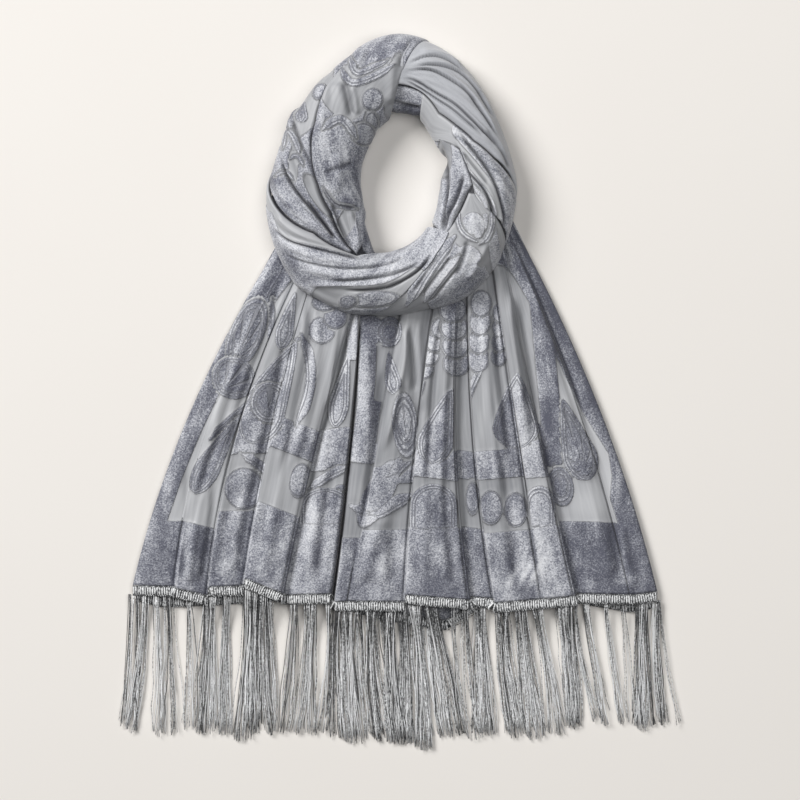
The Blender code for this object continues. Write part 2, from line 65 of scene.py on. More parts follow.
# Creases of the front end, left to right, in millimetres: the angle at which each leaves the loop,
# its X half way down and at the hem, the cloth's height to its left and right at the neck and at the
# hem, the crown of the cloth to its right, the hem's Y to its left and right, how far the upper
# edge laps over the lower one, and how deep a slot it leaves.
PLEATS = (
    ("left_edge", 205.0, -208.5, -265.5, 0.0, 0.0, 0.0, 0.0, 1.6, -191.5, -191.5, 0.0, 0.0),
    ("small_hem_pleat", 214.0, -186.5, -222.5, 0.6, 0.8, 0.6, 3.6, 1.0, -192.5, -194.5, 0.9, 0.0),
    ("first_pleat", 221.8, -160.5, -190.5, 0.6, 0.8, 6.5, 4.0, 1.8, -201.5, -192.5, 1.8, 2.4),
    ("second_pleat", 229.0, -126.5, -154.5, 4.5, 1.0, 4.5, 5.5, 1.2, -191.5, -184.5, 1.2, 0.0),
    ("shadowed_pleat", 249.1, -83.5, -114.5, 8.0, 5.5, 1.0, 0.8, 2.0, -199.5, -200.5, 1.9, 3.0),
    ("deep_valley", 253.0, -48.5, -65.5, 5.5, 5.0, 3.4, 3.8, 2.0, -199.5, -207.5, 0.4, 8.0),
    ("fading_pleat", 272.2, -22.5, -48.5, 1.0, 2.6, 7.0, 3.0, 1.8, -207.0, -207.0, 1.8, 1.0),
    ("middle_pleat", 287.9, 17.5, 6.5, 1.6, 1.6, 5.4, 5.6, 1.6, -207.5, -200.5, 1.8, 2.0),
    ("valley_left", 300.0, 57.5, 71.5, 6.5, 5.5, 0.8, 0.8, 0.6, -205.5, -202.5, 1.9, 2.7),
    ("valley_right", 305.2, 76.0, 95.5, 0.8, 0.8, 6.0, 5.2, 1.6, -204.5, -208.5, 1.7, 2.5),
    ("paisley_pleat", 322.5, 118.5, 144.5, 1.2, 3.0, 7.0, 3.4, 1.2, -204.5, -204.5, 1.5, 2.5),
    ("lit_pleat", 333.0, 137.5, 176.5, 3.4, 6.0, 2.4, 0.8, 1.6, -201.5, -199.5, 1.9, 2.0),
    ("side_fold", 339.4, 182.5, 233.5, 6.0, 2.2, 1.0, 1.6, 0.8, -200.5, -200.5, 1.2, 0.5),
    ("right_edge", 345.4, 198.5, 258.5, 0.0, 0.0, 0.0, 0.0, 0.0, -197.5, -197.5, 0.0, 0.0),
)
# Creases that show only part of the way down, as shares of the way from the loop to the hem, and
# the shares for one that shows all the way.
SHORT_CREASES = {
    "small_hem_pleat": (0.72, 1.3), "second_pleat": (0.4, 1.3), "fading_pleat": (-0.3, 0.78),
    "paisley_pleat": (-0.3, 0.8), "side_fold": (-0.3, 0.6),
}
WHOLE_WAY = (-1.0, 2.0)
CREASE_HALF_WIDTH = 2.6
CREASE_COLUMNS = 11
CREASE_FADE = 0.16
PANEL_COLUMN_WIDTH = 2.7
FADED_COLUMNS = 21
BLURRED_COLUMNS = 25
NECK_TUCK = 6.0


def smooth(share):
    """An S-shaped rise from 0 to 1."""
    share = np.clip(share, 0.0, 1.0)
    return share * share * (3.0 - 2.0 * share)


def fade_ends(along, share):
    """1 along the middle of a route, falling to 0 over a share of it at each end."""
    return smooth(along / share) * smooth((1.0 - along) / share)


def table_value(table, key):
    """Read the second column of a table at keys of the first, in straight lines between its rows."""
    return np.interp(key, [row[0] for row in table], [row[1] for row in table])


def turned(x, y, centre_x, centre_y, tilt):
    """How far across and up places are from a centre, along axes tilted by some degrees."""
    turn = math.radians(tilt)
    across = (x - centre_x) * math.cos(turn) + (y - centre_y) * math.sin(turn)
    up = -(x - centre_x) * math.sin(turn) + (y - centre_y) * math.cos(turn)
    return across, up


def loop_radii(angle):
    """Radius of the neck opening and of the outer rim, as smooth curves through the outline."""
    step = 360.0 / len(LOOP_OUTLINE)
    place = (angle % 360.0) / step
    first = int(place)
    share = place - first
    radii = []
    for column in (1, 2):
        before, start, end, after = (
            LOOP_OUTLINE[(first + shift) % len(LOOP_OUTLINE)][column] for shift in (-1, 0, 1, 2)
        )
        slope_in = (end - before) / 2.0
        slope_out = (after - start) / 2.0
        rise = end - start
        curve = start + slope_in * share
        curve += (3.0 * rise - 2.0 * slope_in - slope_out) * share ** 2
        curve += (slope_in + slope_out - 2.0 * rise) * share ** 3
        radii.append(curve)
    return radii


def neck_line(angles, inset):
    """X and Y of places along the loop's outer rim, moved in by an inset."""
    radius = np.array([loop_radii(angle)[1] for angle in angles]) - inset
    direction = np.radians(angles)
    return LOOP_CENTRE[0] + radius * np.cos(direction), LOOP_CENTRE[1] + radius * np.sin(direction)


def down_curve(down, neck, middle, hem):
    """A curve down the cloth through its values at the neck, half way down and at the hem."""
    at_neck = (1.0 - down) * (1.0 - 2.0 * down)
    at_middle = 4.0 * down * (1.0 - down)
    at_hem = down * (2.0 * down - 1.0)
    return neck * at_neck + middle * at_middle + hem * at_hem


def front_columns():
    """Columns across the front end, and the panel, counted from the left, that each belongs to."""
    columns = []
    panels = []
    for index, pleat in enumerate(PLEATS):
        name, angle, mid, hem, left_neck, left_hem, right_neck, right_hem = pleat[:8]
        crown, hem_left, hem_right, lap, slot = pleat[8:]
        if index in (0, len(PLEATS) - 1):
            columns.append((angle, mid, hem, hem_left, left_neck, left_hem, 0.0, 0.0, *WHOLE_WAY))
            panels.append(min(index, len(PLEATS) - 2))
        else:
            narrow = min(hem - PLEATS[index - 1][3], PLEATS[index + 1][3] - hem)
            narrow_neck = min(angle - PLEATS[index - 1][1], PLEATS[index + 1][1] - angle)
            half = min(CREASE_HALF_WIDTH, 0.25 * narrow)
            half_angle = min(1.1, 0.2 * narrow_neck)
            for place in np.linspace(-1.0, 1.0, CREASE_COLUMNS):
                blend = float(smooth((place + 1.0) / 2.0))
                columns.append(
                    (
                        angle + place * half_angle,
                        mid + place * half,
                        hem + place * half,
                        hem_left + (hem_right - hem_left) * blend,
                        left_neck + (right_neck - left_neck) * blend,
                        left_hem + (right_hem - left_hem) * blend,
                        -lap * math.sin(math.pi * place),
                        slot * math.exp(-(place / 0.42) ** 2),
                        *SHORT_CREASES.get(name, WHOLE_WAY),
                    )
                )
                panels.append(index - 1 if place < 0.0 else index)
        if index == len(PLEATS) - 1:
            continue
        after = PLEATS[index + 1]
        start = columns[-1]
        stop = (*after[1:4], after[9], *after[4:6], 0.0, 0.0, *WHOLE_WAY)
        steps = max(5, round((after[3] - hem) / PANEL_COLUMN_WIDTH))
        for step in range(1, steps):
            share = step / steps
            point = [low + (high - low) * share for low, high in zip(start, stop)]
            bulge = crown * math.sin(math.pi * share) ** 0.8
            point[4] += bulge
            point[5] += bulge
            point[8:] = WHOLE_WAY
            columns.append(tuple(point))
            panels.append(index)
    return np.array(columns), np.array(panels)


def crease_shows(columns, down):
    """How much of a crease shows at each row and column, from 0 to 1."""
    down = down[:, None]
    return smooth((down - columns[:, 8]) / CREASE_FADE) * smooth((columns[:, 9] - down) / CREASE_FADE)


def blurred(grid, count):
    """A grid averaged along its rows over a count of columns."""
    padded = np.pad(grid, ((0, 0), (count // 2, count // 2)), mode="edge")
    kernel = np.full(count, 1.0 / count)
    return np.array([np.convolve(row, kernel, "valid") for row in padded])


def front_places(columns, down):
    """Places on the front end: rows for each value of down, from 0 at the loop to 1 at the hem."""
    neck_x, neck_y = neck_line(columns[:, 0], NECK_TUCK)
    shows = crease_shows(columns, down)
    down = down[:, None]
    x = down_curve(down, neck_x, columns[:, 1], columns[:, 2])
    y = down_curve(down, neck_y, (neck_y + columns[:, 3]) / 2.0, columns[:, 3])
    height = columns[:, 4] + (columns[:, 5] - columns[:, 4]) * smooth(down)
    faded = np.clip(blurred(1.0 - shows, FADED_COLUMNS) * 2.2, 0.0, 1.0)
    height = height + (blurred(height, BLURRED_COLUMNS) - height) * faded
    step = np.abs(np.gradient(height, axis=1))
    step = np.maximum.reduce([np.roll(step, shift, 1) for shift in range(-4, 5)])
    x = x + columns[:, 6] * np.clip(step * 1.2, 0.0, 1.0) * shows
    z = FRONT_BASE + height * FRONT_FULLNESS - columns[:, 7] * smooth(0.15 + down * 3.0) * shows
    return np.stack([x, y, z], axis=-1)


def distance_to(route, x, y):
    """Signed distance from places to a route of points, its corners rounded, and the share along it."""
    route = np.array(route, float)
    for turn in range(2):
        corners = [route[:-1] * 0.75 + route[1:] * 0.25, route[:-1] * 0.25 + route[1:] * 0.75]
        route = np.vstack([route[:1], np.stack(corners, axis=1).reshape(-1, 2), route[-1:]])
    lengths = np.linalg.norm(np.diff(route, axis=0), axis=1)
    total = lengths.sum()
    nearest = np.full(x.shape, 1e9)
    signed = np.zeros(x.shape)
    along = np.zeros(x.shape)
    walked = 0.0
    for start, end, length in zip(route, route[1:], lengths):
        direction = (end - start) / length
        run = (x - start[0]) * direction[0] + (y - start[1]) * direction[1]
        run = np.clip(run, 0.0, length)
        off_x = x - start[0] - direction[0] * run
        off_y = y - start[1] - direction[1] * run
        away = np.hypot(off_x, off_y)
        closer = away < nearest
        nearest = np.where(closer, away, nearest)
        signed = np.where(closer, np.sign(direction[0] * off_y - direction[1] * off_x) * away, signed)
        along = np.where(closer, (walked + run) / total, along)
        walked += length
    return signed, along


LIP_SHARE = 0.45


def relief(folds, x, y):
    """Height added by folds, and how much painted shade each place gets from a crease, from 0 to 1.

    Each fold has a route, a half width, and a height at its middle. One with a negative height is a
    crease: a lip of cloth stands along its upper left side.
    """
    height = np.zeros(x.shape)
    painted_crease_shade = np.zeros(x.shape)
    for route, half_width, rise in folds:
        signed, along = distance_to(route, x, y)
        fade = fade_ends(along, CREASE_FADE)
        height += rise * np.exp(-((signed / half_width) ** 2)) * fade
        if rise < 0.0:
            heading = np.subtract(route[-1], route[0])
            side = 1.0 if heading[0] + heading[1] > 0.0 else -1.0
            lip = (side * signed - 2.0 * half_width) / (1.5 * half_width)
            height -= LIP_SHARE * rise * np.exp(-lip ** 2) * fade
            # Painted shade: the deeper and narrower a crease, the darker its middle is painted.
            depth = min(1.0, -rise / 4.0) * min(1.0, 2.2 / half_width)
            painted_crease_shade = np.maximum(painted_crease_shade, depth * np.exp(-((signed / half_width) ** 4)) * fade)
    return height, painted_crease_shade


# Soft folds inside the pleats, in millimetres: route down the cloth, half width, height or depth.
FRONT_FOLDS = (
    (((-126, 135), (-142, 75), (-168, 20), (-196, -60)), 6.0, 1.8),
    (((-116, 120), (-131, 60), (-152, 10), (-172, -60)), 3.2, -1.6),
    (((-146, 60), (-176, -10), (-202, -90), (-214, -190)), 4.5, 1.4),
    (((-170, -20), (-196, -85), (-210, -140)), 3.0, -1.2),
    (((-210, -70), (-211, -125), (-216, -195)), 4.0, -1.4),
    (((-197, -90), (-200, -125), (-212, -195)), 4.0, 2.2),
    (((-185, -85), (-186, -125), (-198, -195)), 3.2, -2.2),
    (((-165, -80), (-176, -120), (-190, -185)), 5.0, 1.8),
    (((-158, -30), (-166, -90), (-180, -150)), 4.0, -1.4),
    (((-152, -100), (-162, -140), (-164, -180)), 5.0, 2.0),
    (((-94, 105), (-96, 60), (-104, 20), (-130, -60), (-147, -150)), 5.0, 2.0),
    (((-84, 92), (-78, 45), (-92, -25), (-108, -80)), 4.0, 2.2),
    (((-88, 95), (-88, 50), (-100, -10), (-120, -90)), 3.0, -2.2),
    (((-112, 60), (-122, 0), (-136, -60), (-150, -120)), 3.5, -1.8),
    (((-110, -30), (-118, -90), (-134, -180)), 4.5, 1.6),
    (((-60, 75), (-66, 30), (-70, -20)), 3.0, 2.2),
    (((-70, -20), (-80, -90), (-92, -190)), 5.0, 1.8),
    (((-62, -60), (-74, -120), (-80, -190)), 3.5, -1.6),
    (((-33, 70), (-32, 20), (-30, -40), (-40, -120)), 4.0, 1.8),
    (((-24, 70), (-20, 10), (-24, -50)), 2.6, -1.9),
    (((-14, -120), (-26, -150), (-34, -190)), 6.0, 2.4),
    (((-2, -110), (-6, -150), (-6, -195)), 6.0, -1.8),
    (((10, 76), (6, 30), (-4, -15), (-15, -60)), 3.2, 3.0),
    (((10, 68), (13, 40), (16, 0)), 3.0, -2.6),
    (((20, 75), (22, 30), (24, -20)), 4.0, 2.2),
    (((44, 80), (36, 30), (32, -30), (28, -100)), 3.0, -2.2),
    (((52, 80), (48, 30), (44, -40), (42, -110)), 3.6, 2.0),
    (((30, -60), (26, -120), (26, -190)), 6.0, 1.5),
    (((46, -80), (50, -140), (56, -195)), 4.0, -1.6),
    (((84, 90), (88, 30), (92, -30), (104, -110)), 3.6, 2.0),
    (((94, 95), (98, 40), (104, -10), (112, -70)), 2.8, -2.0),
    (((104, -60), (110, -120), (120, -195)), 5.0, -1.8),
    (((118, -90), (128, -140), (140, -195)), 5.0, 2.0),
    (((112, 110), (113, 75), (118, 35), (126, -20)), 4.0, 2.4),
    (((120, 100), (122, 60), (132, 5), (136, -60)), 5.0, -2.4),
    (((134, -30), (146, -90), (160, -150)), 5.0, 1.4),
    (((130, 120), (144, 70), (156, 10), (168, -40)), 5.0, 2.0),
    (((176, -40), (190, -100), (204, -150), (214, -195)), 6.0, 1.6),
    (((150, 60), (160, 20), (176, -30)), 3.0, 2.0),
    (((196, -60), (212, -120), (224, -190)), 5.0, -1.6),
    (((222, -130), (228, -165), (238, -196)), 4.0, 1.8),
)

# Velvet motifs left standing on the satin: kind, panels (or None for all), centre, half width, half
# height, tilt in degrees, and how many ribs radiate inside it. A plain traditional mix of drops,
# rounds, petals, ovals, scales, arches and bands, drawn by formula.
FRONT_MOTIFS = (
    ("round", (0, 1), -151.5, 59.5, 17.0, 38.0, -22, 14),
    ("round", (0, 1), -164.5, 15.5, 22.0, 21.0, -40, 12),
    ("drop", (0, 1), -182.0, -60.0, 13.0, 46.0, -30, 0),
    ("drop", (1, 2), -110.5, 73.5, 9.0, 30.0, -14, 0),
    ("drop", (2, 3), -127.0, 2.0, 24.0, 56.0, -24, 0),
    ("round", (2,), -128.5, -9.0, 18.5, 20.5, 0, 7),
    ("petal", (2,), -154.0, -95.0, 20.0, 21.0, 10, 0),
    ("petal", (3,), -98.0, -87.0, 11.0, 18.0, -10, 0),
    ("petal", (3, 4), -76.5, 63.0, 13.5, 14.0, 0, 0),
    ("petal", (3, 4), -63.0, 76.0, 12.0, 12.0, 0, 0),
    ("petal", (3, 4), -74.0, 91.0, 13.0, 9.0, 0, 0),
    ("drop", (4,), -57.0, 4.0, 10.5, 38.0, -10, 0),
    ("arch", (4,), -73.0, -112.0, 26.0, 18.0, 0, 0),
    ("band", (4, 5), -46.0, 57.0, 5.5, 24.0, -2, 0),
    ("band", (5,), -31.0, 34.0, 9.0, 44.0, -2, 0),
    ("band", (5,), -33.0, -38.0, 12.0, 32.0, -8, 0),
    ("oval", (5, 6), -20.0, -100.0, 14.0, 38.0, -28, 0),
    ("round", (5, 6), -9.0, 61.5, 12.5, 16.0, -6, 9),
    ("drop", (5, 6), -7.0, 20.5, 8.5, 22.0, 10, 0),
    ("round", (6,), 6.5, -31.5, 13.0, 33.0, 4, 10),
    ("drop", (7,), 41.5, -31.5, 18.0, 40.0, -15, 0),
    ("scales", (7,), 34.0, 45.0, 10.0, 29.0, -22, 0),
    ("scales", (7, 8), 56.0, 57.0, 14.0, 36.0, 4, 0),
    ("arch", (7,), 35.0, -112.0, 24.0, 22.0, 0, 0),
    ("scales", (9,), 81.0, 62.0, 11.0, 37.0, -3, 0),
    ("scales", (9,), 101.0, 59.0, 8.5, 29.0, -3, 0),
    ("petal", (8,), 74.0, -105.0, 7.0, 17.0, 0, 0),
    ("drop", (9, 10), 117.0, -17.0, 24.0, 38.0, 2, 0),
    ("petal", (9,), 92.0, -114.0, 12.0, 17.5, 0, 0),
    ("petal", (9, 10), 117.0, -116.0, 12.0, 17.5, 0, 0),
    ("arch", (10,), 141.0, -112.0, 16.0, 20.0, 0, 0),
    ("band", (10, 11), 148.0, 20.0, 10.5, 93.0, 5.5, 0),
    ("drop", (11, 12), 175.5, -46.0, 17.5, 43.0, 19, 11),
    ("round", (11,), 162.0, -93.0, 13.0, 20.0, 10, 9),
)

# Curved strokes of pile, drawn as close parallel lines: panels, route, half width.
FRONT_STROKES = (
    ((0, 1), ((-137, -2), (-160, -22), (-188, -46)), 6.0),
    ((0, 1), ((-122, 20), (-128, 62), (-126, 96)), 4.0),
    ((2, 3), ((-97, 58), (-130, 20), (-148, -2)), 5.5),
    ((2, 3), ((-97, 60), (-87, 34), (-88, -2), (-102, -32)), 5.5),
    ((2,), ((-156, -60), (-140, -70), (-124, -84)), 5.0),
    ((2,), ((-146, -84), (-134, -96), (-126, -108)), 4.0),
    ((4,), ((-90, -96), (-70, -82), (-50, -72)), 5.0),
    ((4,), ((-84, -118), (-68, -102), (-50, -92)), 6.0),
    ((5, 6), ((-48, -112), (-26, -122), (0, -108), (14, -100)), 7.0),
    ((6,), ((-38, -112), (-12, -84), (8, -66), (18, -52)), 7.0),
    ((7,), ((18, -8), (24, 16), (30, 34)), 4.0),
    ((9,), ((62, -24), (74, 10), (84, 28)), 4.0),
    ((11,), ((126, -20), (148, -48), (158, -78)), 5.0),
)
# Velvet above the hem and across the middle, panel by panel, in millimetres above the hem.
HEM_BORDERS = (66, 67, 76, 78, 75, 64, 72, 72, 70, 70, 72, 74, 73)
MIDDLE_BANDS = (
    (0, 0), (0, 0), (134, 162), (134, 166), (125, 168), (140, 160), (118, 136), (118, 149),
    (118, 147), (123, 152), (121, 160), (0, 0), (0, 0),
)
LEFT_BORDER = 17.0
RIGHT_BORDER = (
    # Y, width: the edge is folded under a little half way down
    (-105, 20.0), (-82, 11.0), (-60, 7.0), (-38, 12.0), (-17, 16.0), (20, 18.0),
)
RING_PITCH = 2.9
# How deep in pile a place is, in mm from the pile's edge: none at all, and all pile. Each shape is
# kept clear of the pile round it by a rim, and a petal's rings start so far in that one line shows.
NO_PILE = -4.0
ALL_PILE = 4.0
CLEAR_RIM = 1.6
ONE_LINE = 4.4
LOBE_HEIGHT = 0.74


def motif_depth(kind, across, up, half_width, half_height):
    """How far inside a motif a place lies, in millimetres, and less than 0 outside it."""
    if kind == "band":
        return np.minimum(half_width - np.abs(across), half_height - np.abs(up))
    if kind == "drop":
        reach = (up + half_height) / (2.0 * half_height)
        width = half_width * np.sqrt(np.clip(1.0 - ((reach - 0.3) / 0.3) ** 2, 0.0, 1.0))
        tail = half_width * np.clip(1.0 - (reach - 0.3) / 0.7, 0.0, 1.0) ** 0.72
        width = np.where(reach > 0.3, tail, width)
        bend = 0.25 * half_width * np.clip(reach - 0.3, 0.0, 1.0) ** 2
        inside = width - np.abs(across - bend)
        return np.where((reach < 0.0) | (reach > 1.0), NO_PILE, inside)
    if kind == "arch":
        above = np.maximum(up, 0.0)
        inside = half_width - np.hypot(across, above * half_width / half_height)
        return np.where(up < -half_height, NO_PILE, inside)
    radius = np.sqrt((across / half_width) ** 2 + (up / half_height) ** 2)
    return (1.0 - radius) * min(half_width, half_height)


class Pattern:
    """A pile pattern as it is laid out: how deep in pile each place is, its rings and its ribs."""

    def __init__(self, x, y, panels=None, depth=NO_PILE):
        self.x = x
        self.y = y
        self.panels = np.zeros(x.shape, int) if panels is None else panels
        self.depth = np.full(x.shape, depth)
        self.rings = np.zeros(x.shape)
        self.ribs = np.zeros(x.shape)

    def lay(self, inside, panels=None, rings=None, ribs=0.0):
        """Lay one shape of pile over what is there; one with rings keeps a clear rim round it."""
        if panels is not None:
            inside = np.where(np.isin(self.panels, panels), inside, NO_PILE)
        taken = inside > -CLEAR_RIM
        if rings is None:
            taken &= inside > self.depth
            rings = 0.0
        self.depth = np.where(taken, inside, self.depth)
        self.rings = np.where(taken, rings, self.rings)
        self.ribs = np.where(taken, ribs, self.ribs)

    def scales(self, panels, across, up, half_width, half_height):
        """A row of rounded lobes, each lapping over the one below it."""
        pitch = half_height / 2.0
        for lobe in range(4):
            middle = (lobe + 0.5) * pitch - half_height
            radius = np.hypot(across / half_width, (up - middle) / (pitch * LOBE_HEIGHT))
            inside = (1.0 - radius) * pitch * LOBE_HEIGHT
            self.lay(inside, panels, inside + ONE_LINE)

    def motifs(self, motifs):
        """Lay motifs from rows like those of FRONT_MOTIFS."""
        for kind, panels, centre_x, centre_y, half_width, half_height, tilt, rib_count in motifs:
            across, up = turned(self.x, self.y, centre_x, centre_y, tilt)
            if kind == "scales":
                self.scales(panels, across, up, half_width, half_height)
                continue
            inside = motif_depth(kind, across, up, half_width, half_height)
            angle = np.arctan2(across / half_width, up / half_height + 0.7) * rib_count
            ribs = np.cos(angle) * (1.0 if rib_count else 0.0)
            rings = {"band": None, "oval": None, "petal": inside + ONE_LINE}.get(kind, inside)
            self.lay(inside, panels, rings, ribs)

    def strokes(self, strokes):
        """Lay curved strokes that taper at both ends, from rows like those of FRONT_STROKES."""
        for panels, route, half_width in strokes:
            signed, along = distance_to(route, self.x, self.y)
            inside = half_width * (0.3 + 0.7 * fade_ends(along, 0.2)) - np.abs(signed)
            self.lay(inside, panels, np.where(inside > 0.0, signed + half_width + 2.0, 0.0))

    def openings(self, ovals):
        """Leave ovals bare of pile: centre, half width, half height, tilt."""
        for centre_x, centre_y, half_width, half_height, tilt in ovals:
            across, up = turned(self.x, self.y, centre_x, centre_y, tilt)
            outside = (np.sqrt((across / half_width) ** 2 + (up / half_height) ** 2) - 1.0) * half_width
            self.depth = np.minimum(self.depth, outside)


def front_pattern(x, y, panels, from_hem, from_left, from_right):
    """The whole pattern of the front end: borders along the hem and sides, band, and motifs."""
    pattern = Pattern(x, y, panels)
    border = np.array(HEM_BORDERS)[panels] - from_hem
    sides = np.maximum(LEFT_BORDER - from_left, table_value(RIGHT_BORDER, y) - from_right)
    pattern.lay(np.maximum(border, sides))
    band = np.array(MIDDLE_BANDS)[panels]
    pattern.lay(np.minimum(from_hem - band[..., 0], band[..., 1] - from_hem))
    pattern.strokes(FRONT_STROKES)
    pattern.motifs(FRONT_MOTIFS)
    return pattern


def nap_and_painted_light_patches(patches, x, y):
    """Patches of lighter or darker tone, partly brushed nap and partly painted highlights and painted shade:
    centre, half width, half height, tilt, change.
    """
    nap_and_painted_light = np.zeros(x.shape)
    for centre_x, centre_y, half_width, half_height, tilt, change in patches:
        across, up = turned(x, y, centre_x, centre_y, tilt)
        nap_and_painted_light += change * np.exp(-((across / half_width) ** 2) - (up / half_height) ** 2)
    return nap_and_painted_light


# How light the pile is, its own tone and painted light, and the satin's tone with its painted sheen, panel by
# panel, left to right.
FRONT_TONES = (-0.14, -0.02, 0.12, 0.14, 0.24, 0.14, 0.2, -0.1, -0.06, 0.08, 0.36, -0.2, -0.18)
FRONT_SATIN_PAINTED_SHEEN = (0.78, 0.78, 0.52, 0.52, 0.4, 0.26, 0.32, 0.34, 0.34, 0.42, 0.48, 0.55, 0.7)
# Patches of painted shine on the satin, and patches where the pile is lighter or darker, partly brushed
# nap and partly painted highlights and painted shade: centre X and Y, half width, half height, tilt in
# degrees, change.
FRONT_PAINTED_SHINE = (
    (197, -108, 24, 20, 0, 0.45), (202, -60, 11, 32, 20, 0.35), (168, 17, 5, 32, 15, 0.35),
    (168, -16, 8, 20, 15, 0.25), (14, 45, 12, 44, 0, 0.3), (1, 12, 3.5, 60, -10, 0.3),
    (-30, 60, 8, 40, -4, 0.2), (-44, -100, 18, 12, 0, 0.15), (70, 10, 5, 60, -6, 0.15),
    (84, -20, 4, 46, -6, 0.3), (120, 80, 8, 30, -10, -0.1),
    (104, -92, 22, 8, 0, -0.2), (140, -86, 12, 10, 0, 0.25), (-140, 40, 14, 30, -30, -0.1),
    (44, -86, 22, 12, 0, -0.15),
)
FRONT_NAP_AND_PAINTED_LIGHT = (
    (-170, -172, 10, 10, 0, 0.45), (-208, -188, 7, 10, 0, 0.4), (-218, -160, 10, 26, 0, -0.2),
    (113, -184, 3.2, 15, -30, 0.8), (125, -181, 3.4, 18, -30, 0.95), (139, -176, 3.4, 20, -30, 0.8),
    (119, -188, 2.4, 10, -30, -0.4), (132, -180, 2.4, 14, -30, -0.5),
    (-8, -168, 12, 22, -30, 0.5), (-26, -184, 8, 14, -20, -0.3), (10, -190, 12, 8, 0, 0.2),
    (28, -140, 22, 34, 0, 0.2), (-20, -98, 10, 30, -25, 0.2), (-46, -180, 14, 30, 0, -0.25),
    (60, -118, 8, 40, 0, 0.15), (8, -30, 12, 32, 0, 0.3), (-44, 20, 12, 50, 0, 0.2),
    (-30, 62, 10, 30, 0, -0.4), (128, -186, 20, 7, 10, 0.3), (150, -176, 8, 16, -20, 0.3),
    (225, -186, 14, 5, 10, 0.5), (212, -58, 8, 20, 25, 0.45), (192, -188, 6, 5, 0, 0.4),
    (128, -158, 20, 26, 0, 0.3), (80, -143, 9, 9, 0, 0.4), (40, 40, 18, 50, 0, 0.85),
    (82, 60, 14, 40, 0, 0.6),
    (104, 58, 10, 34, 0, 0.3), (45, -60, 14, 20, 0, 0.3), (195, -165, 34, 30, 0, -0.3),
    (152, -40, 9, 50, 4, -0.35), (-172, -28, 4.5, 44, -30, -0.5), (150, 40, 12, 60, 10, -0.1),
    (-185, -160, 7, 34, 0, -0.35),
    (-76, 92, 14, 12, 0, -0.4), (-58, 72, 8, 9, 0, -0.35), (-78, 62, 10, 12, 0, 0.1),
    (-38, 20, 9, 60, 0, -0.1), (104, -20, 10, 30, 0, -0.3), (128, -20, 10, 30, 0, 0.25),
    (-200, 30, 16, 110, -28, -0.12), (-150, 50, 20, 40, -20, 0.1), (-126, -30, 20, 30, 0, 0.12),
    (-180, -60, 10, 40, -30, -0.1), (-66, -150, 10, 40, 0, 0.1), (96, -66, 26, 14, 0, 0.1),
    (26, -72, 14, 12, 0, 0.35), (-10, 60, 10, 14, 0, -0.35), (178, -50, 14, 32, 15, 0.45),
)


def painted_slope_light(places):
    """Painted light: pile is made lighter where the cloth slopes towards the light at the upper left, darker
    where it turns away.
    """
    run = np.maximum(np.abs(np.gradient(places[:, :, 0], axis=1)), 0.4)
    return np.clip(np.gradient(places[:, :, 2], axis=1) / run, -1.2, 1.2) * 0.5


def grain_of(places):
    """How far down the cloth each place of a grid is, and how far across each column is, in mm."""
    down = np.linalg.norm(np.diff(places, axis=0), axis=2)
    over = np.linalg.norm(np.diff(places, axis=1), axis=2).mean(axis=0)
    warp = np.vstack([np.zeros((1, places.shape[1])), np.cumsum(down, axis=0)])
    weft = np.concatenate([[0.0], np.cumsum(over)])
    return warp, np.broadcast_to(weft, warp.shape)


def cloth_sheet(name, places, thickness, pattern, nap_and_painted_light, satin_tone_and_painted_sheen, painted_crease_shade, hem_first=False):
    """Drape a new sheet to places in mm and thicken it under them.

    Its pattern and grain, its nap with painted light, its satin tone with painted sheen and its painted
    crease shade are kept as attributes, for its material to read.
    hem_first is for places whose rows run from the loop down to the hem.
    """
    rows, columns = places.shape[:2]
    bpy.ops.object.select_all(action="DESELECT")
    bpy.ops.mesh.primitive_grid_add(x_subdivisions=columns - 1, y_subdivisions=rows - 1, size=2.0)
    sheet = bpy.context.object
    sheet.name = name
    flat = np.empty(rows * columns * 3)
    sheet.data.vertices.foreach_get("co", flat)
    flat = flat.reshape(-1, 3)
    column = np.rint((flat[:, 0] + 1.0) / 2.0 * (columns - 1)).astype(int)
    row = np.rint((flat[:, 1] + 1.0) / 2.0 * (rows - 1)).astype(int)
    if hem_first:
        row = rows - 1 - row
    sheet.data.vertices.foreach_set("co", (places[row, column] * MM).ravel())
    warp, weft = grain_of(places)
    values = {
        "pile": pattern.depth, "rings": pattern.rings, "ribs": pattern.ribs, "nap_and_painted_light": nap_and_painted_light,
        "warp": warp, "weft": weft, "satin_tone_and_painted_sheen": satin_tone_and_painted_sheen, "painted_crease_shade": painted_crease_shade,
    }
    for title, grid in values.items():
        attribute = sheet.data.attributes.new(title, "FLOAT", "POINT")
        grid = np.broadcast_to(grid, (rows, columns)).astype(float)
        attribute.data.foreach_set("value", grid[row, column])
    solidify = sheet.modifiers.new("cloth", "SOLIDIFY")
    solidify.thickness = thickness * MM
    solidify.offset = -1.0
    bpy.ops.object.modifier_apply(modifier=solidify.name)
    bpy.ops.object.shade_smooth()
    return sheet


def nap_height(pattern):
    """How far the cloth's face stands up where its pile was left, with a soft slope at each edge."""
    return PILE_HEIGHT * smooth((pattern.depth + 1.0) / 2.0)


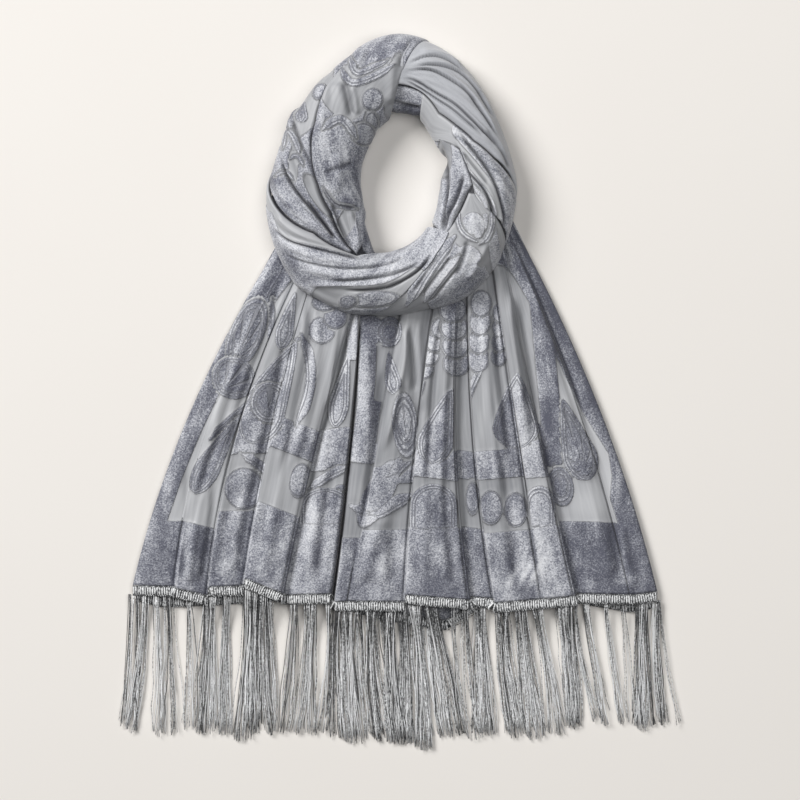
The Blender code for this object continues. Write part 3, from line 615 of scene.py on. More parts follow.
class Number:
    """A number that a material works out, so that arithmetic on it adds Math nodes."""

    def __init__(self, finish, socket):
        self.finish = finish
        self.socket = socket

    def math(self, operation, *others):
        inputs = dict(enumerate((self, *others)))
        return self.finish.node("ShaderNodeMath", {"operation": operation}, inputs)[0]

    def __add__(self, other):
        return self.math("ADD", other)

    __radd__ = __add__

    def __sub__(self, other):
        return self.math("SUBTRACT", other)

    def __rsub__(self, other):
        return self * -1.0 + other

    def __mul__(self, other):
        return self.math("MULTIPLY", other)

    def rise(self, start, end):
        """0 below start and 1 above end, with a smooth rise between."""
        inputs = {"Value": self, "From Min": start, "From Max": end}
        return self.finish.node("ShaderNodeMapRange", {"interpolation_type": "SMOOTHSTEP"}, inputs)[0]


class Finish:
    """A procedural material as it is put together."""

    def __init__(self, name, **constants):
        self.material = bpy.data.materials.new(name)
        self.material.use_nodes = True
        self.tree = self.material.node_tree
        self.shader = self.tree.nodes["Principled BSDF"]
        for title, value in constants.items():
            self.shader.inputs[title.replace("_", " ")].default_value = value

    def node(self, kind, settings=None, inputs=None):
        """Add a node, set it up, feed its inputs, and return its outputs as numbers."""
        node = self.tree.nodes.new(kind)
        for title, value in (settings or {}).items():
            setattr(node, title, value)
        for title, value in (inputs or {}).items():
            self.feed(node.inputs[title], value)
        return [Number(self, socket) for socket in node.outputs]

    def feed(self, socket, value):
        if isinstance(value, Number):
            self.tree.links.new(value.socket, socket)
        else:
            socket.default_value = value

    def attribute(self, title):
        return self.node("ShaderNodeAttribute", {"attribute_name": title})[2]

    def place(self):
        return self.node("ShaderNodeTexCoord")[3]

    def grain(self, shrink):
        """Places on the cloth itself, shrunk along the warp, so that a noise runs down the cloth."""
        inputs = {0: self.attribute("weft"), 1: self.attribute("warp") * shrink}
        return self.node("ShaderNodeCombineXYZ", None, inputs)[0]

    def noise(self, vector, scale, detail=2.0, roughness=0.5):
        inputs = {"Vector": vector, "Scale": scale, "Detail": detail, "Roughness": roughness}
        return self.node("ShaderNodeTexNoise", None, inputs)[0]

    def mix(self, share, first, second):
        inputs = {0: share, 6: first, 7: second}
        return self.node("ShaderNodeMix", {"data_type": "RGBA"}, inputs)[2]

    def use(self, title, value):
        self.feed(self.shader.inputs[title], value)

    def bump(self, height, distance, strength=1.0):
        inputs = {"Height": height, "Distance": distance * MM, "Strength": strength}
        self.use("Normal", self.node("ShaderNodeBump", None, inputs)[0])


# The satin's range of tone, from deep to light; its tone with painted sheen places it in this range.
SATIN_LIGHT = (0.50, 0.512, 0.535, 1.0)
SATIN_DEEP = (0.19, 0.198, 0.218, 1.0)
PILE_BRIGHT = (0.70, 0.715, 0.75, 1.0)
PILE_LIGHT = (0.48, 0.495, 0.54, 1.0)
PILE_MID = (0.225, 0.235, 0.275, 1.0)
PILE_DEEP = (0.095, 0.1, 0.132, 1.0)
# Painted crease shade: the colour mixed into the cloth where it is creased or tucked under a neighbour, and
# how far it is mixed in.
CREASE_SHADE = (0.012, 0.012, 0.018, 1.0)
CREASE_SHADE_STRENGTH = 0.92


def burnout_velvet(name):
    """Velvet pile over satin: attributes say where pile, rings and ribs stand, how its nap lies with painted
    light, the satin's painted sheen, and the painted shade in its creases.
    """
    finish = Finish(name, Sheen_Weight=0.3, Sheen_Roughness=0.4, Specular_IOR_Level=0.34)
    place = finish.place()
    fuzz = finish.noise(place, 1500.0, 1.0, 0.6)
    speckle = finish.noise(place, 640.0, 3.0, 0.75)
    crushed = finish.noise(place, 150.0, 3.0, 0.6)
    brushed = finish.noise(finish.grain(0.45), 0.065, 3.0, 0.55)
    depth = finish.attribute("pile") + (fuzz - 0.5) * 2.2
    velvet = depth.rise(-0.5, 0.7)
    rings = finish.attribute("rings")
    wave = (rings * (2.0 * math.pi / RING_PITCH) + (fuzz - 0.5) * 1.4 + brushed * 4.0).math("SINE")
    ringed = rings.rise(0.8, 1.6) * (1.0 - rings.rise(6.0, 7.4))
    grooves = wave.rise(0.1, 0.7) * ringed
    ribbed = finish.attribute("ribs").rise(0.4, 0.9) * rings.rise(3.0, 5.0)
    sunk = grooves.math("MAXIMUM", ribbed)
    velvet = velvet * (1.0 - sunk * 0.55)
    nap_and_painted_light = finish.attribute("nap_and_painted_light")
    rim = velvet * (1.0 - depth.rise(0.6, 2.2)) * 0.12
    # Painted shade: the ring term darkens the pile along its grooves.
    tone = (speckle - 0.5) * 4.0 + (brushed - 0.5) * 2.6 + nap_and_painted_light + rim - wave * ringed * 0.22 + 0.44
    pile = finish.mix(tone.rise(-0.25, 0.55), PILE_DEEP, PILE_MID)
    pile = finish.mix(tone.rise(0.4, 1.15), pile, PILE_LIGHT)
    pile = finish.mix(tone.rise(0.95, 1.9), pile, PILE_BRIGHT)
    threads = finish.noise(finish.grain(0.07), 0.24)
    # Painted sheen: the satin's colour follows its tone with painted sheen, lighter where it stands for light
    # shining off the satin.
    ground = finish.mix(finish.attribute("satin_tone_and_painted_sheen") + (threads - 0.5) * 0.8, SATIN_DEEP, SATIN_LIGHT)
    cloth = finish.mix(velvet, ground, pile)
    # Painted shade: the ring and rib grooves in the pile are darkened towards the deepest pile colour.
    cloth = finish.mix(sunk * depth.rise(0.0, 1.0) * 0.48, cloth, PILE_DEEP)
    # Painted shade darkens the cloth in its creases.
    finish.use("Base Color", finish.mix(finish.attribute("painted_crease_shade") * CREASE_SHADE_STRENGTH, cloth, CREASE_SHADE))
    finish.use("Roughness", 0.47 + velvet * 0.36)
    finish.bump(velvet * (0.5 + speckle * 0.9 + crushed * 1.8) + threads * 0.12, 0.9, 0.85)
    return finish.material


def dress(sheet, replaced, material):
    """Give a piece of cloth its finish and its place on the part."""
    sheet.data.materials.append(material)
    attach(sheet, "root")
    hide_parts(replaced)


velvet_material = burnout_velvet("burnout velvet")
columns, column_panels = front_columns()
front_down = np.linspace(0.0, 1.0, FRONT_ROWS)
front = front_places(columns, front_down)
front_x = front[:, :, 0]
front_y = front[:, :, 1]
row_lengths = np.linalg.norm(np.diff(front[:, :, :2], axis=0), axis=2)
from_hem = np.vstack([np.cumsum(row_lengths[::-1], axis=0)[::-1], np.zeros(front.shape[1])])
panel_grid = np.broadcast_to(column_panels, front_x.shape)
drawn = front_pattern(
    front_x, front_y, panel_grid, from_hem, front_x - front_x[:, :1], front_x[:, -1:] - front_x
)
folded, painted_crease_shade = relief(FRONT_FOLDS, front_x, front_y)
raised = front[:, :, 2] + folded * FRONT_FOLD_GAIN + nap_height(drawn)
front[:, :, 2] = np.maximum(raised, FRONT_LOWEST)
# The nap holds the pile's own tone by panel and by patch, with painted highlights, painted shade and painted
# light by slope.
nap_and_painted_light = nap_and_painted_light_patches(FRONT_NAP_AND_PAINTED_LIGHT, front_x, front_y) + painted_slope_light(front)
nap_and_painted_light += np.array(FRONT_TONES)[panel_grid]
# Painted shade: each crease slot is darkened along the front end, as are the fold creases.
slots = columns[:, 7] / 2.2 * smooth(front_down * 4.0)[:, None] * crease_shows(columns, front_down)
painted_crease_shade = np.maximum(painted_crease_shade * 0.8, np.clip(slots, 0.0, 1.0))
# The satin's tone with painted sheen, panel by panel and patch by patch.
satin_tone_and_painted_sheen = np.array(FRONT_SATIN_PAINTED_SHEEN)[panel_grid] + nap_and_painted_light_patches(FRONT_PAINTED_SHINE, front_x, front_y)
front_cloth = cloth_sheet(
    "front_end_cloth", front, FRONT_THICKNESS, drawn, nap_and_painted_light, satin_tone_and_painted_sheen, painted_crease_shade, hem_first=True
)
dress(front_cloth, "front_end", velvet_material)


# Back end of the shawl.
# The lower end, cut like the front one, lies flat on the surface and peeps out below the front hem,
# where its velvet border and its own braid show in four places.

BACK_HEM = (
    (-262.0, -197.0), (-235.0, -203.5), (-175.0, -201.0), (-98.5, -194.5), (-13.5, -216.5),
    (46.5, -226.5), (81.5, -204.5), (161.5, -196.5), (231.5, -208.5), (256.0, -204.0),
)
BACK_TOP = 2.2
BACK_THICKNESS = 1.2
BACK_SIDE_INSET = 4.0
BACK_NECK_CLEARANCE = 3.0
BACK_RIPPLE = 0.25
BACK_ROWS = 60
BACK_COLUMNS = 150


def all_velvet(x, y):
    """A stretch with pile all over it."""
    return Pattern(x, y, depth=ALL_PILE)


share = np.linspace(0.0, 1.0, BACK_COLUMNS)
down = np.linspace(0.0, 1.0, BACK_ROWS)[:, None]
left, right = PLEATS[0], PLEATS[-1]
angles, middle_x, hem_x = (left[column] + (right[column] - left[column]) * share for column in (1, 2, 3))
inset = BACK_SIDE_INSET * (1.0 - 2.0 * share)
neck_x, neck_y = neck_line(angles, BACK_NECK_CLEARANCE)
hem_y = table_value(BACK_HEM, hem_x + inset)
back_x = down_curve(down, neck_x, middle_x + inset, hem_x + inset)
back_y = down_curve(down, neck_y, (neck_y + hem_y) / 2.0, hem_y)
back_z = BACK_TOP + BACK_RIPPLE * np.sin(back_x * 0.21 + back_y * 0.05)
back = np.stack([back_x, back_y, back_z], axis=-1)
back_cloth = cloth_sheet(
    "back_end_cloth", back, BACK_THICKNESS, all_velvet(back_x, back_y), 0.1, 0.5, 0.0, hem_first=True
)
dress(back_cloth, "back_end", velvet_material)


# Broad left turn of the neck loop.
# The stretch of the shawl that comes over the top of the loop and down its inner left side. It is
# burnout velvet, right side out, folded under along its free edges and laid over the other turns.

# The loop's section, in mm, and how a sheet ends on it: rolled under where it lies over the next
# turn, tucked on below where it lies under it, or cut at the foot. Stations are spaced across it and
# along it.
LOOP_HEIGHT = 38.0
LOOP_WAIST = 0.42 * LOOP_HEIGHT
LOOP_MEAN_RADIUS = 90.0
CORE_INSET = 6.5
LOOP_THICKNESS = 1.1
LOOP_LOWEST = 1.2
ROLL = 2.3
UNDER_PROFILE = [(-8.0, 3.4), (-5.0, 3.3), (-2.4, 3.2), (-0.8, 3.0), (0.4, 2.7), (1.4, 2.0), (2.3, 1.0)]
EDGE_REACH = {"over": ROLL, "under": 3.2, "foot": 0.0}
LOOP_ACROSS = 0.9
LOOP_ALONG = 1.4
BROAD_OUTER_EDGE = (
    (70, 1.2), (90, 1.2), (97.5, 1.07), (105, 0.95), (112.5, 0.84), (127.5, 0.76), (142.5, 0.64),
    (165, 0.54), (180, 0.46), (202.5, 0.385), (240, 0.37),
)
BROAD_INNER_EDGE = (
    (70, -0.2), (202.5, -0.2), (210, -0.1), (217.5, 0.0), (225, 0.08), (232.5, 0.17), (240, 0.27),
    (247.5, 0.34),
)
WHOLE_DEGREES = np.arange(361)
LOOP_CURVES = np.array([loop_radii(angle) for angle in WHOLE_DEGREES])


def loop_section(angle):
    """The loop's section at angles: radius of its middle, half its width, and its rise."""
    inside, outside = (np.interp(angle % 360.0, WHOLE_DEGREES, LOOP_CURVES[:, side]) for side in (0, 1))
    return (inside + outside) / 2.0, (outside - inside) / 2.0 - CORE_INSET, LOOP_HEIGHT - LOOP_WAIST


def loop_places(angle, share, offset):
    """Places on the loop's section: share 0 is the inner rim, 0.5 the top, 1 the outer rim."""
    middle, half, rise = loop_section(angle)
    turn = math.pi * share
    normal_x = -np.cos(turn) / half
    normal_z = np.sin(turn) / rise
    size = np.hypot(normal_x, normal_z)
    radius = middle - half * np.cos(turn) + offset * normal_x / size
    height = LOOP_WAIST + rise * np.sin(turn) + offset * normal_z / size
    direction = np.radians(angle)
    x = LOOP_CENTRE[0] + radius * np.cos(direction)
    y = LOOP_CENTRE[1] + radius * np.sin(direction)
    return np.stack([x, y, np.maximum(height, LOOP_THICKNESS + 0.2)], axis=-1)


def section_length(angle):
    """About how long the section is from rim to rim, over the top."""
    middle, half, rise = loop_section(angle)
    return math.pi * (half + rise) / 2.0


def edge_profile(kind):
    """How a sheet ends: how far in from its edge each point is, and how far below the sheet."""
    if kind == "over":
        turns = np.radians(np.linspace(-60.0, 90.0, 8))[:-1]
        return [(ROLL * (1.0 - math.cos(turn)), ROLL * (1.0 - math.sin(turn))) for turn in turns]
    if kind == "under":
        return UNDER_PROFILE
    return []


def spread(start_kind, end_kind, spacing, length, longest):
    """Stations across a sheet of some lengths: how far from its start each is, and its drop."""
    first = edge_profile(start_kind)
    last = edge_profile(end_kind)[::-1]
    begin = EDGE_REACH[start_kind]
    end = EDGE_REACH[end_kind]
    inner = np.linspace(0.0, 1.0, max(4, round(longest / spacing)))
    scale = np.minimum(1.0, length / (3.2 * ROLL))[:, None]
    places = [np.array([point[0] for point in first]) * scale]
    span = length[:, None] - (begin + end) * scale
    places.append(begin * scale + span * inner)
    places.append(length[:, None] - np.array([point[0] for point in last]) * scale)
    drop = np.array([point[1] for point in first] + [0.0] * len(inner) + [point[1] for point in last])
    return np.hstack(places), drop


def loop_turn(
    name, begin, end, inner, outer, lift, sides, folds, pattern_for, patches, tone=0.25, satin_tone_and_painted_sheen=0.42
):
    """One stretch of cloth wound round the loop.

    begin and end are pairs of angles, at its inner and its outer edge. inner and outer are tables of
    where its edges run round the section. lift is how far it lies above the loop's section. sides
    says how its begin, end, inner and outer edge lie: over the next turn, under it, or down to the
    foot. folds, patches, tone and the satin's tone are like those of the front end: patches and tone
    hold the pile's own tone with painted light and painted shade, the satin's tone holds painted sheen.
    """
    start = min(begin)
    stop = max(end)
    length = np.array([math.radians(stop - start) * LOOP_MEAN_RADIUS])
    stations, end_drop = spread(sides[0], sides[1], LOOP_ALONG, length, length[0])
    shares_along = stations[0] / length[0]
    middle_angle = start + (stop - start) * shares_along
    width = table_value(outer, middle_angle) - table_value(inner, middle_angle)
    width = np.maximum(width * section_length(middle_angle), 1.0)
    over, side_drop = spread(sides[2], sides[3], LOOP_ACROSS, width, width.max())
    across = over / width[:, None]
    first_angle = begin[0] + (begin[1] - begin[0]) * across
    last_angle = end[0] + (end[1] - end[0]) * across
    angle = first_angle + (last_angle - first_angle) * shares_along[:, None]
    inner_share = table_value(inner, angle)
    outer_share = table_value(outer, angle)
    share = inner_share + (outer_share - inner_share) * across
    drop = np.maximum(end_drop[:, None], side_drop[None, :])
    flat = loop_places(angle, share, lift)
    folded, painted_crease_shade = relief(folds, flat[:, :, 0], flat[:, :, 1])
    pattern = pattern_for(flat[:, :, 0], flat[:, :, 1])
    offset = np.maximum(lift - drop + folded + nap_height(pattern), LOOP_LOWEST)
    places = loop_places(angle, share, offset)
    # Painted shade: where the cloth drops under a neighbour's edge, its tone is darkened and it gets crease
    # shade.
    nap_and_painted_light = nap_and_painted_light_patches(patches, flat[:, :, 0], flat[:, :, 1]) + tone - 0.05 * np.clip(drop, 0.0, 4.0)
    painted_crease_shade = np.maximum(painted_crease_shade, np.clip((drop - 1.0) / 1.4, 0.0, 1.0))
    return cloth_sheet(name, places, LOOP_THICKNESS, pattern, nap_and_painted_light, satin_tone_and_painted_sheen, painted_crease_shade)


def broad_left_pattern(x, y):
    pattern = all_velvet(x, y)
    pattern.openings(
        ((-55, 300, 22, 30, 30), (-30, 306, 22, 18, 0), (-5, 306, 8, 32, -10), (-52, 170, 8, 16, -20))
    )
    pattern.motifs(
        (
            ("petal", None, -26, 292, 10.5, 11.5, -20, 0),
            ("petal", None, -26.5, 271, 6.5, 9.0, 10, 0),
            ("petal", None, -35, 258, 12.0, 11.0, 0, 0),
        )
    )
    pattern.strokes(
        (
            (None, ((-48, 336), (-43, 316), (-24, 323), (-10, 331)), 4.0),
            (None, ((-58, 326), (-49, 306), (-28, 312), (-4, 326)), 4.0),
            (None, ((-75, 262), (-60, 274), (-50, 268), (-42, 254)), 4.5),
            (None, ((-75, 204), (-64, 187), (-53, 185), (-41, 183)), 2.5),
        )
    )
    return pattern


broad_left = loop_turn(
    "broad_left_turn_cloth", (102, 74), (240, 240), BROAD_INNER_EDGE, BROAD_OUTER_EDGE, 8.0,
    ("over", "under", "foot", "over"),
    (
        (((-55, 312), (-51, 297), (-46, 274)), 3.6, -3.2),
        (((-47, 306), (-43, 293), (-42, 276)), 3.0, 2.0),
        (((-3, 340), (-7, 316), (-8, 286)), 5.0, 3.2),
        (((-66, 330), (-72, 300), (-78, 262)), 4.0, 1.8),
        (((-74, 218), (-64, 222), (-52, 227), (-44, 230)), 2.4, -1.2),
        (((-75, 204), (-64, 187), (-53, 185), (-41, 183)), 1.8, -2.0),
        (((-66, 190), (-57, 165), (-46, 142)), 2.4, -3.0),
        (((-50, 182), (-42, 165), (-40, 143)), 3.0, 2.2),
        (((-62, 240), (-58, 220), (-64, 196)), 5.0, 1.6),
        (((-30, 344), (-34, 330), (-44, 318)), 3.0, -1.6),
        (((14, 352), (4, 336), (2, 322)), 2.0, -1.8),
    ),
    broad_left_pattern,
    (
        (-20, 338, 10, 8, 0, -0.5), (0, 344, 8, 6, 30, -0.5), (-62, 240, 14, 20, 0, 0.2),
        (-70, 222, 10, 10, 0, -0.5), (-52, 226, 10, 3.5, 22, -0.7), (-50, 214, 10, 4, 30, -0.4),
        (-60, 200, 10, 5, 0, 0.4), (-50, 190, 10, 4, -30, -0.4), (-26, 290, 10, 12, 0, 0.15),
    ),
)
dress(broad_left, "broad_left_turn", velvet_material)


# Left under turn of the neck loop.
# The velvet stretch that shows outside the broad turn, down the outer left side; it is pulled tight,
# so it lies in three or four narrow folds that run under its neighbours.

FRONT_UPPER_EDGE = (
    (165, 1.2), (172.5, 1.1), (180, 0.99), (187.5, 0.87), (195, 0.76), (202.5, 0.66), (210, 0.56),
    (225, 0.47), (240, 0.38), (247.5, 0.25), (255, 0.09), (262.5, -0.06), (270, -0.2),
)


def left_under_pattern(x, y):
    pattern = all_velvet(x, y)
    pattern.openings(((-84, 292, 12, 40, -24), (-78, 196, 8, 26, 34), (-104, 226, 5, 16, 0)))
    pattern.motifs((("drop", None, -95, 280, 6.0, 11.0, -10, 0), ("petal", None, -78, 300, 6.0, 9.0, -30, 0)))
    pattern.strokes(
        (
            (None, ((-115, 243), (-111, 262), (-104, 258), (-97, 236)), 3.0),
            (None, ((-108, 232), (-100, 238), (-94, 226)), 2.4),
            (None, ((-122, 216), (-112, 222), (-104, 212)), 2.4),
        )
    )
    return pattern


left_under = loop_turn(
    "left_under_turn_cloth", (100, 100), (236, 236), BROAD_OUTER_EDGE, FRONT_UPPER_EDGE, 4.4,
    ("under", "under", "under", "under"),
    (
        (((-106, 276), (-99, 251), (-86, 226)), 1.3, -2.8),
        (((-118, 238), (-113, 218), (-99, 197), (-81, 177), (-62, 153)), 1.4, -3.8),
        (((-128, 202), (-122, 186), (-111, 171), (-88, 160)), 1.3, -3.6),
        (((-92, 192), (-75, 171), (-62, 152)), 1.7, -4.2),
        (((-100, 290), (-108, 262), (-104, 232), (-88, 204)), 3.6, 2.6),
        (((-92, 262), (-84, 236), (-80, 210), (-60, 172)), 3.0, 2.4),
        (((-124, 224), (-118, 200), (-100, 178), (-76, 158)), 3.4, 2.6),
        (((-72, 322), (-86, 300), (-92, 276)), 4.0, 1.6),
    ),
    left_under_pattern,
    (
        (-94, 282, 6, 10, -10, -0.6), (-104, 226, 8, 8, 30, -0.5), (-120, 212, 8, 6, 0, -0.5),
        (-112, 186, 8, 10, 0, -0.3), (-100, 200, 8, 12, 30, 0.2),
    ),
)
dress(left_under, "left_under_turn", velvet_material)


# Front lower turn of the neck loop.
# The crescent that crosses the front of the neck, with its plain satin side along the upper edge and
# long soft velvet folds below.

PUFFED_LEFT_EDGE = (
    (247.5, 1.12), (255, 0.97), (262.5, 0.82), (270, 0.67), (277.5, 0.56), (285, 0.48), (300, 0.38),
    (317, 0.33), (345, 0.40), (358, 0.43),
)
PUFFED_RIGHT_EDGE = ((247.5, 1.12), (322, 1.12), (332, 0.96), (340, 0.76), (348, 0.56), (355, 0.46))
FRONT_OUTER_EDGE = ((165, 1.12),) + PUFFED_LEFT_EDGE[:7] + ((322.5, 0.34), (345, 0.42))
FRONT_INNER_EDGE = FRONT_UPPER_EDGE + ((340, -0.2),)


def front_lower_pattern(x, y):
    pattern = all_velvet(x, y)
    signed, along = distance_to(((-128, 178), (-118, 152), (-92, 146), (-60, 138), (-36, 130)), x, y)
    pattern.depth = np.where(x < -38.0, np.minimum(pattern.depth, 3.0 - signed), pattern.depth)
    signed, along = distance_to(((-76, 98), (-50, 98), (-20, 98), (0, 104), (18, 116)), x, y)
    pattern.depth = np.minimum(pattern.depth, np.abs(signed) - 9.0)
    pattern.motifs((("petal", None, -24, 94, 26.0, 8.0, 4, 0), ("petal", None, -50, 92, 9.0, 6.0, 0, 0)))
    return pattern


front_lower = loop_turn(
    "front_lower_turn_cloth", (172, 172), (297, 317), FRONT_INNER_EDGE, FRONT_OUTER_EDGE, 8.0,
    ("under", "over", "over", "foot"),
    (
        (((-126, 166), (-112, 152), (-92, 146), (-63, 139), (-34, 132)), 1.2, -3.4),
        (((-118, 142), (-100, 132), (-75, 126), (-48, 123), (-14, 126), (14, 138)), 1.1, -2.0),
        (((-72, 112), (-50, 112), (-26, 114), (0, 119), (26, 132)), 1.2, -2.6),
        (((-56, 102), (-18, 103), (-2, 108), (21, 122), (35, 141)), 1.3, -3.4),
        (((-122, 156), (-100, 140), (-63, 131), (-33, 128), (-7, 132), (30, 149)), 3.2, 1.9),
        (((-98, 125), (-63, 117), (-33, 117), (-3, 124), (26, 142)), 3.2, 2.0),
        (((-92, 109), (-60, 107), (-20, 108), (4, 116)), 2.8, 2.2),
        (((-109, 117), (-88, 103), (-63, 89), (-40, 81)), 3.0, 2.0),
        (((-122, 180), (-112, 164), (-90, 154), (-64, 147)), 3.0, 2.0),
    ),
    front_lower_pattern,
    (
        (-60, 122, 50, 10, -4, 0.1), (0, 128, 30, 10, 30, 0.2), (-110, 128, 12, 12, -30, -0.3),
        (-84, 112, 20, 6, 0, -0.3), (-30, 94, 26, 8, 0, -0.2), (-110, 160, 20, 12, -30, 0.3),
    ),
    0.46, 0.6,
)
dress(front_lower, "front_lower_turn", velvet_material)


# Lower right turn of the neck loop.
# A puffed panel at the lower right, where the same cloth turns under: rows of pile ribs beside plain
# bands and ovals of pile, with satin between.


def lower_right_pattern(x, y):
    pattern = Pattern(x, y)
    pattern.motifs(
        (
            ("band", None, 46, 118, 26.0, 30.0, -44, 0),
            ("band", None, 62, 100, 34.0, 12.0, 30, 0),
            ("oval", None, 74, 166, 12.0, 14.0, 0, 0),
            ("oval", None, 70, 138, 12.0, 9.0, -20, 0),
            ("band", None, 96, 140, 6.0, 40.0, 10, 0),
        )
    )
    pattern.strokes(
        (
            (None, ((8, 88), (23, 114), (41, 140), (56, 156)), 7.0),
            (None, ((60, 186), (58, 172), (64, 158), (80, 150)), 3.0),
            (None, ((92, 190), (94, 170), (90, 156), (80, 148)), 3.0),
            (None, ((26, 92), (42, 114), (60, 136)), 6.0),
        )
    )
    return pattern


lower_right = loop_turn(
    "lower_right_turn_cloth", (255, 252), (354, 354), PUFFED_LEFT_EDGE, PUFFED_RIGHT_EDGE, 7.4,
    ("over", "under", "over", "under"),
    (
        (((14, 100), (28, 120), (44, 142)), 1.6, -1.8),
        (((22, 96), (38, 116), (54, 138)), 1.6, -1.8),
        (((30, 92), (48, 112), (62, 130)), 1.6, -1.4),
        (((56, 116), (65, 134), (69, 153)), 2.4, -2.2),
        (((67, 112), (82, 134), (92, 158)), 3.6, 2.4),
        (((70, 176), (80, 160), (84, 146)), 3.0, 1.6),
        (((30, 80), (56, 92), (80, 112)), 4.0, 2.0),
    ),
    lower_right_pattern,
    ((74, 165, 12, 14, 0, 0.7), (40, 118, 20, 24, -40, 0.3), (70, 138, 10, 8, 0, 0.3)),
    0.46, 0.55,
)
dress(lower_right, "lower_right_turn", velvet_material)


# Right pleated turn of the neck loop.
# The shawl's plain wrong side, gathered at the top under the broad turn and fanned in fine long
# pleats down the outer right side.

PLEATED_LOWER_EDGE = (
    (-15, 1.12), (-7.5, 1.03), (0, 0.92), (7.5, 0.81), (15, 0.7), (30, 0.53), (60, 0.355), (90, 0.41),
    (104, 0.43),
)


def plain_side_finish(name):
    """The wrong side of the velvet: matt, with a fine even grain and faint streaks down the cloth."""
    finish = Finish(name, Sheen_Weight=0.25, Sheen_Roughness=0.5, Specular_IOR_Level=0.3, Roughness=0.55)
    speckle = finish.noise(finish.place(), 900.0, 2.0, 0.7)
    threads = finish.noise(finish.grain(0.06), 0.6, 2.0, 0.6)
    tone = speckle * 0.6 + threads * 0.6 + finish.attribute("nap_and_painted_light")
    cloth = finish.mix(tone.rise(0.2, 1.0), (0.26, 0.272, 0.3, 1.0), (0.45, 0.465, 0.5, 1.0))
    # Painted shade in the creases.
    finish.use("Base Color", finish.mix(finish.attribute("painted_crease_shade") * CREASE_SHADE_STRENGTH, cloth, CREASE_SHADE))
    finish.bump(speckle * 0.6 + threads * 0.4, 0.4, 0.6)
    return finish.material


plain_material = plain_side_finish("plain side of the velvet")
right_pleated = loop_turn(
    "right_pleated_turn_cloth", (-14, -14), (106, 84), PLEATED_LOWER_EDGE,
    ((-15, 1.16), (0, 1.2), (104, 1.2)), 7.4,
    ("under", "under", "over", "foot"),
    (
        (((3, 313), (17, 311), (37, 298), (56, 288), (72, 273), (93, 252), (104, 241)), 1.1, -3.6),
        (((5, 312), (23, 302), (41, 290), (54, 282), (69, 269), (85, 256)), 1.0, -3.2),
        (((6, 320), (30, 323), (50, 313), (69, 300), (84, 278), (100, 252)), 1.1, -3.4),
        (((11, 324), (39, 328), (63, 319), (82, 297), (95, 273)), 1.0, -3.0),
        (((10, 328), (30, 337), (48, 334), (67, 319)), 1.0, -2.6),
        (((4, 316), (26, 313), (52, 302), (74, 285), (98, 256), (112, 226)), 2.6, 1.7),
        (((8, 319), (36, 317), (60, 305), (78, 288)), 2.2, 1.3),
        (((10, 326), (40, 322), (62, 310), (84, 286), (100, 258)), 2.2, 1.5),
        (((12, 330), (40, 332), (66, 316), (86, 292)), 2.4, 1.5),
        (((4, 308), (24, 298), (44, 284), (66, 266), (92, 246), (108, 216)), 2.6, 1.5),
        (((20, 341), (44, 340), (64, 326)), 2.4, 1.8),
        (((94, 250), (108, 228), (113, 200)), 3.0, 1.4),
        (((86, 262), (102, 242), (110, 222)), 1.8, -2.2),
    ),
    Pattern,
    ((6, 318, 14, 8, 0, -0.3), (60, 296, 30, 20, -40, 0.1), (96, 270, 10, 30, 30, -0.15)),
)
dress(right_pleated, "right_pleated_turn", plain_material)


# Right velvet turn of the neck loop.
# A velvet stretch inside the pleated one, down the right side: a dark stripe along its outer edge,
# satin and narrow crumpled folds beside it.

INNER_FOLDS_EDGE = ((-50, 0.33), (-22.5, 0.38), (-4, 0.44), (0, 0.46), (30, 0.36), (60, 0.14), (66, 0.08))
RIGHT_VELVET_EDGE = (
    (-36, 0.84), (-22, 0.66), (-13, 0.49), (0, 0.45), (30, 0.36), (45, 0.2), (56, -0.1), (62, -0.2),
    (76, -0.2),
)
RIGHT_VELVET_OUTER = (
    (-36, 1.12), (-7.5, 1.08), (0, 0.94), (7.5, 0.81), (15, 0.7), (30, 0.53), (60, 0.355), (90, 0.41),
)


def right_velvet_pattern(x, y):
    pattern = Pattern(x, y)
    for half_width, route in (
        (9.0, ((62, 262), (84, 236), (104, 210), (112, 180), (106, 150))),
        (6.0, ((60, 236), (66, 216), (84, 202), (94, 180), (92, 150))),
    ):
        pattern.lay(half_width - np.abs(distance_to(route, x, y)[0]))
    pattern.strokes(((None, ((60, 232), (74, 214), (90, 196), (98, 166)), 3.0),))
    return pattern


right_velvet = loop_turn(
    "right_velvet_turn_cloth", (-13, -34), (70, 75), RIGHT_VELVET_EDGE, RIGHT_VELVET_OUTER, 6.4,
    ("over", "over", "over", "under"),
    (
        (((59, 263), (69, 247), (82, 232), (95, 212), (102, 191), (106, 171), (102, 154)), 1.7, -3.2),
        (((56, 251), (61, 234), (69, 219), (85, 204), (93, 184), (95, 158)), 1.7, -3.4),
        (((65, 258), (82, 243), (98, 221), (109, 195)), 3.0, 1.8),
        (((58, 256), (66, 236), (80, 220), (92, 200), (98, 172)), 2.6, 2.4),
        (((54, 262), (58, 240), (64, 226)), 2.4, 2.0),
        (((66, 226), (80, 208), (88, 190), (90, 162)), 2.2, 2.2),
        (((64, 240), (76, 224), (90, 206)), 1.5, -2.2),
    ),
    right_velvet_pattern,
    (
        (92, 226, 12, 30, 30, -0.3), (106, 190, 8, 30, 0, -0.3), (70, 222, 10, 16, 30, 0.35),
        (90, 180, 6, 30, 0, 0.3),
    ),
    0.78, 0.9,
)
dress(right_velvet, "right_velvet_turn", velvet_material)


# Inner right folds of the neck loop.
# Three narrow velvet folds that stand along the right rim of the neck opening.


def inner_right_pattern(x, y):
    pattern = all_velvet(x, y)
    pattern.openings(((46, 236, 7, 21, 0),))
    return pattern


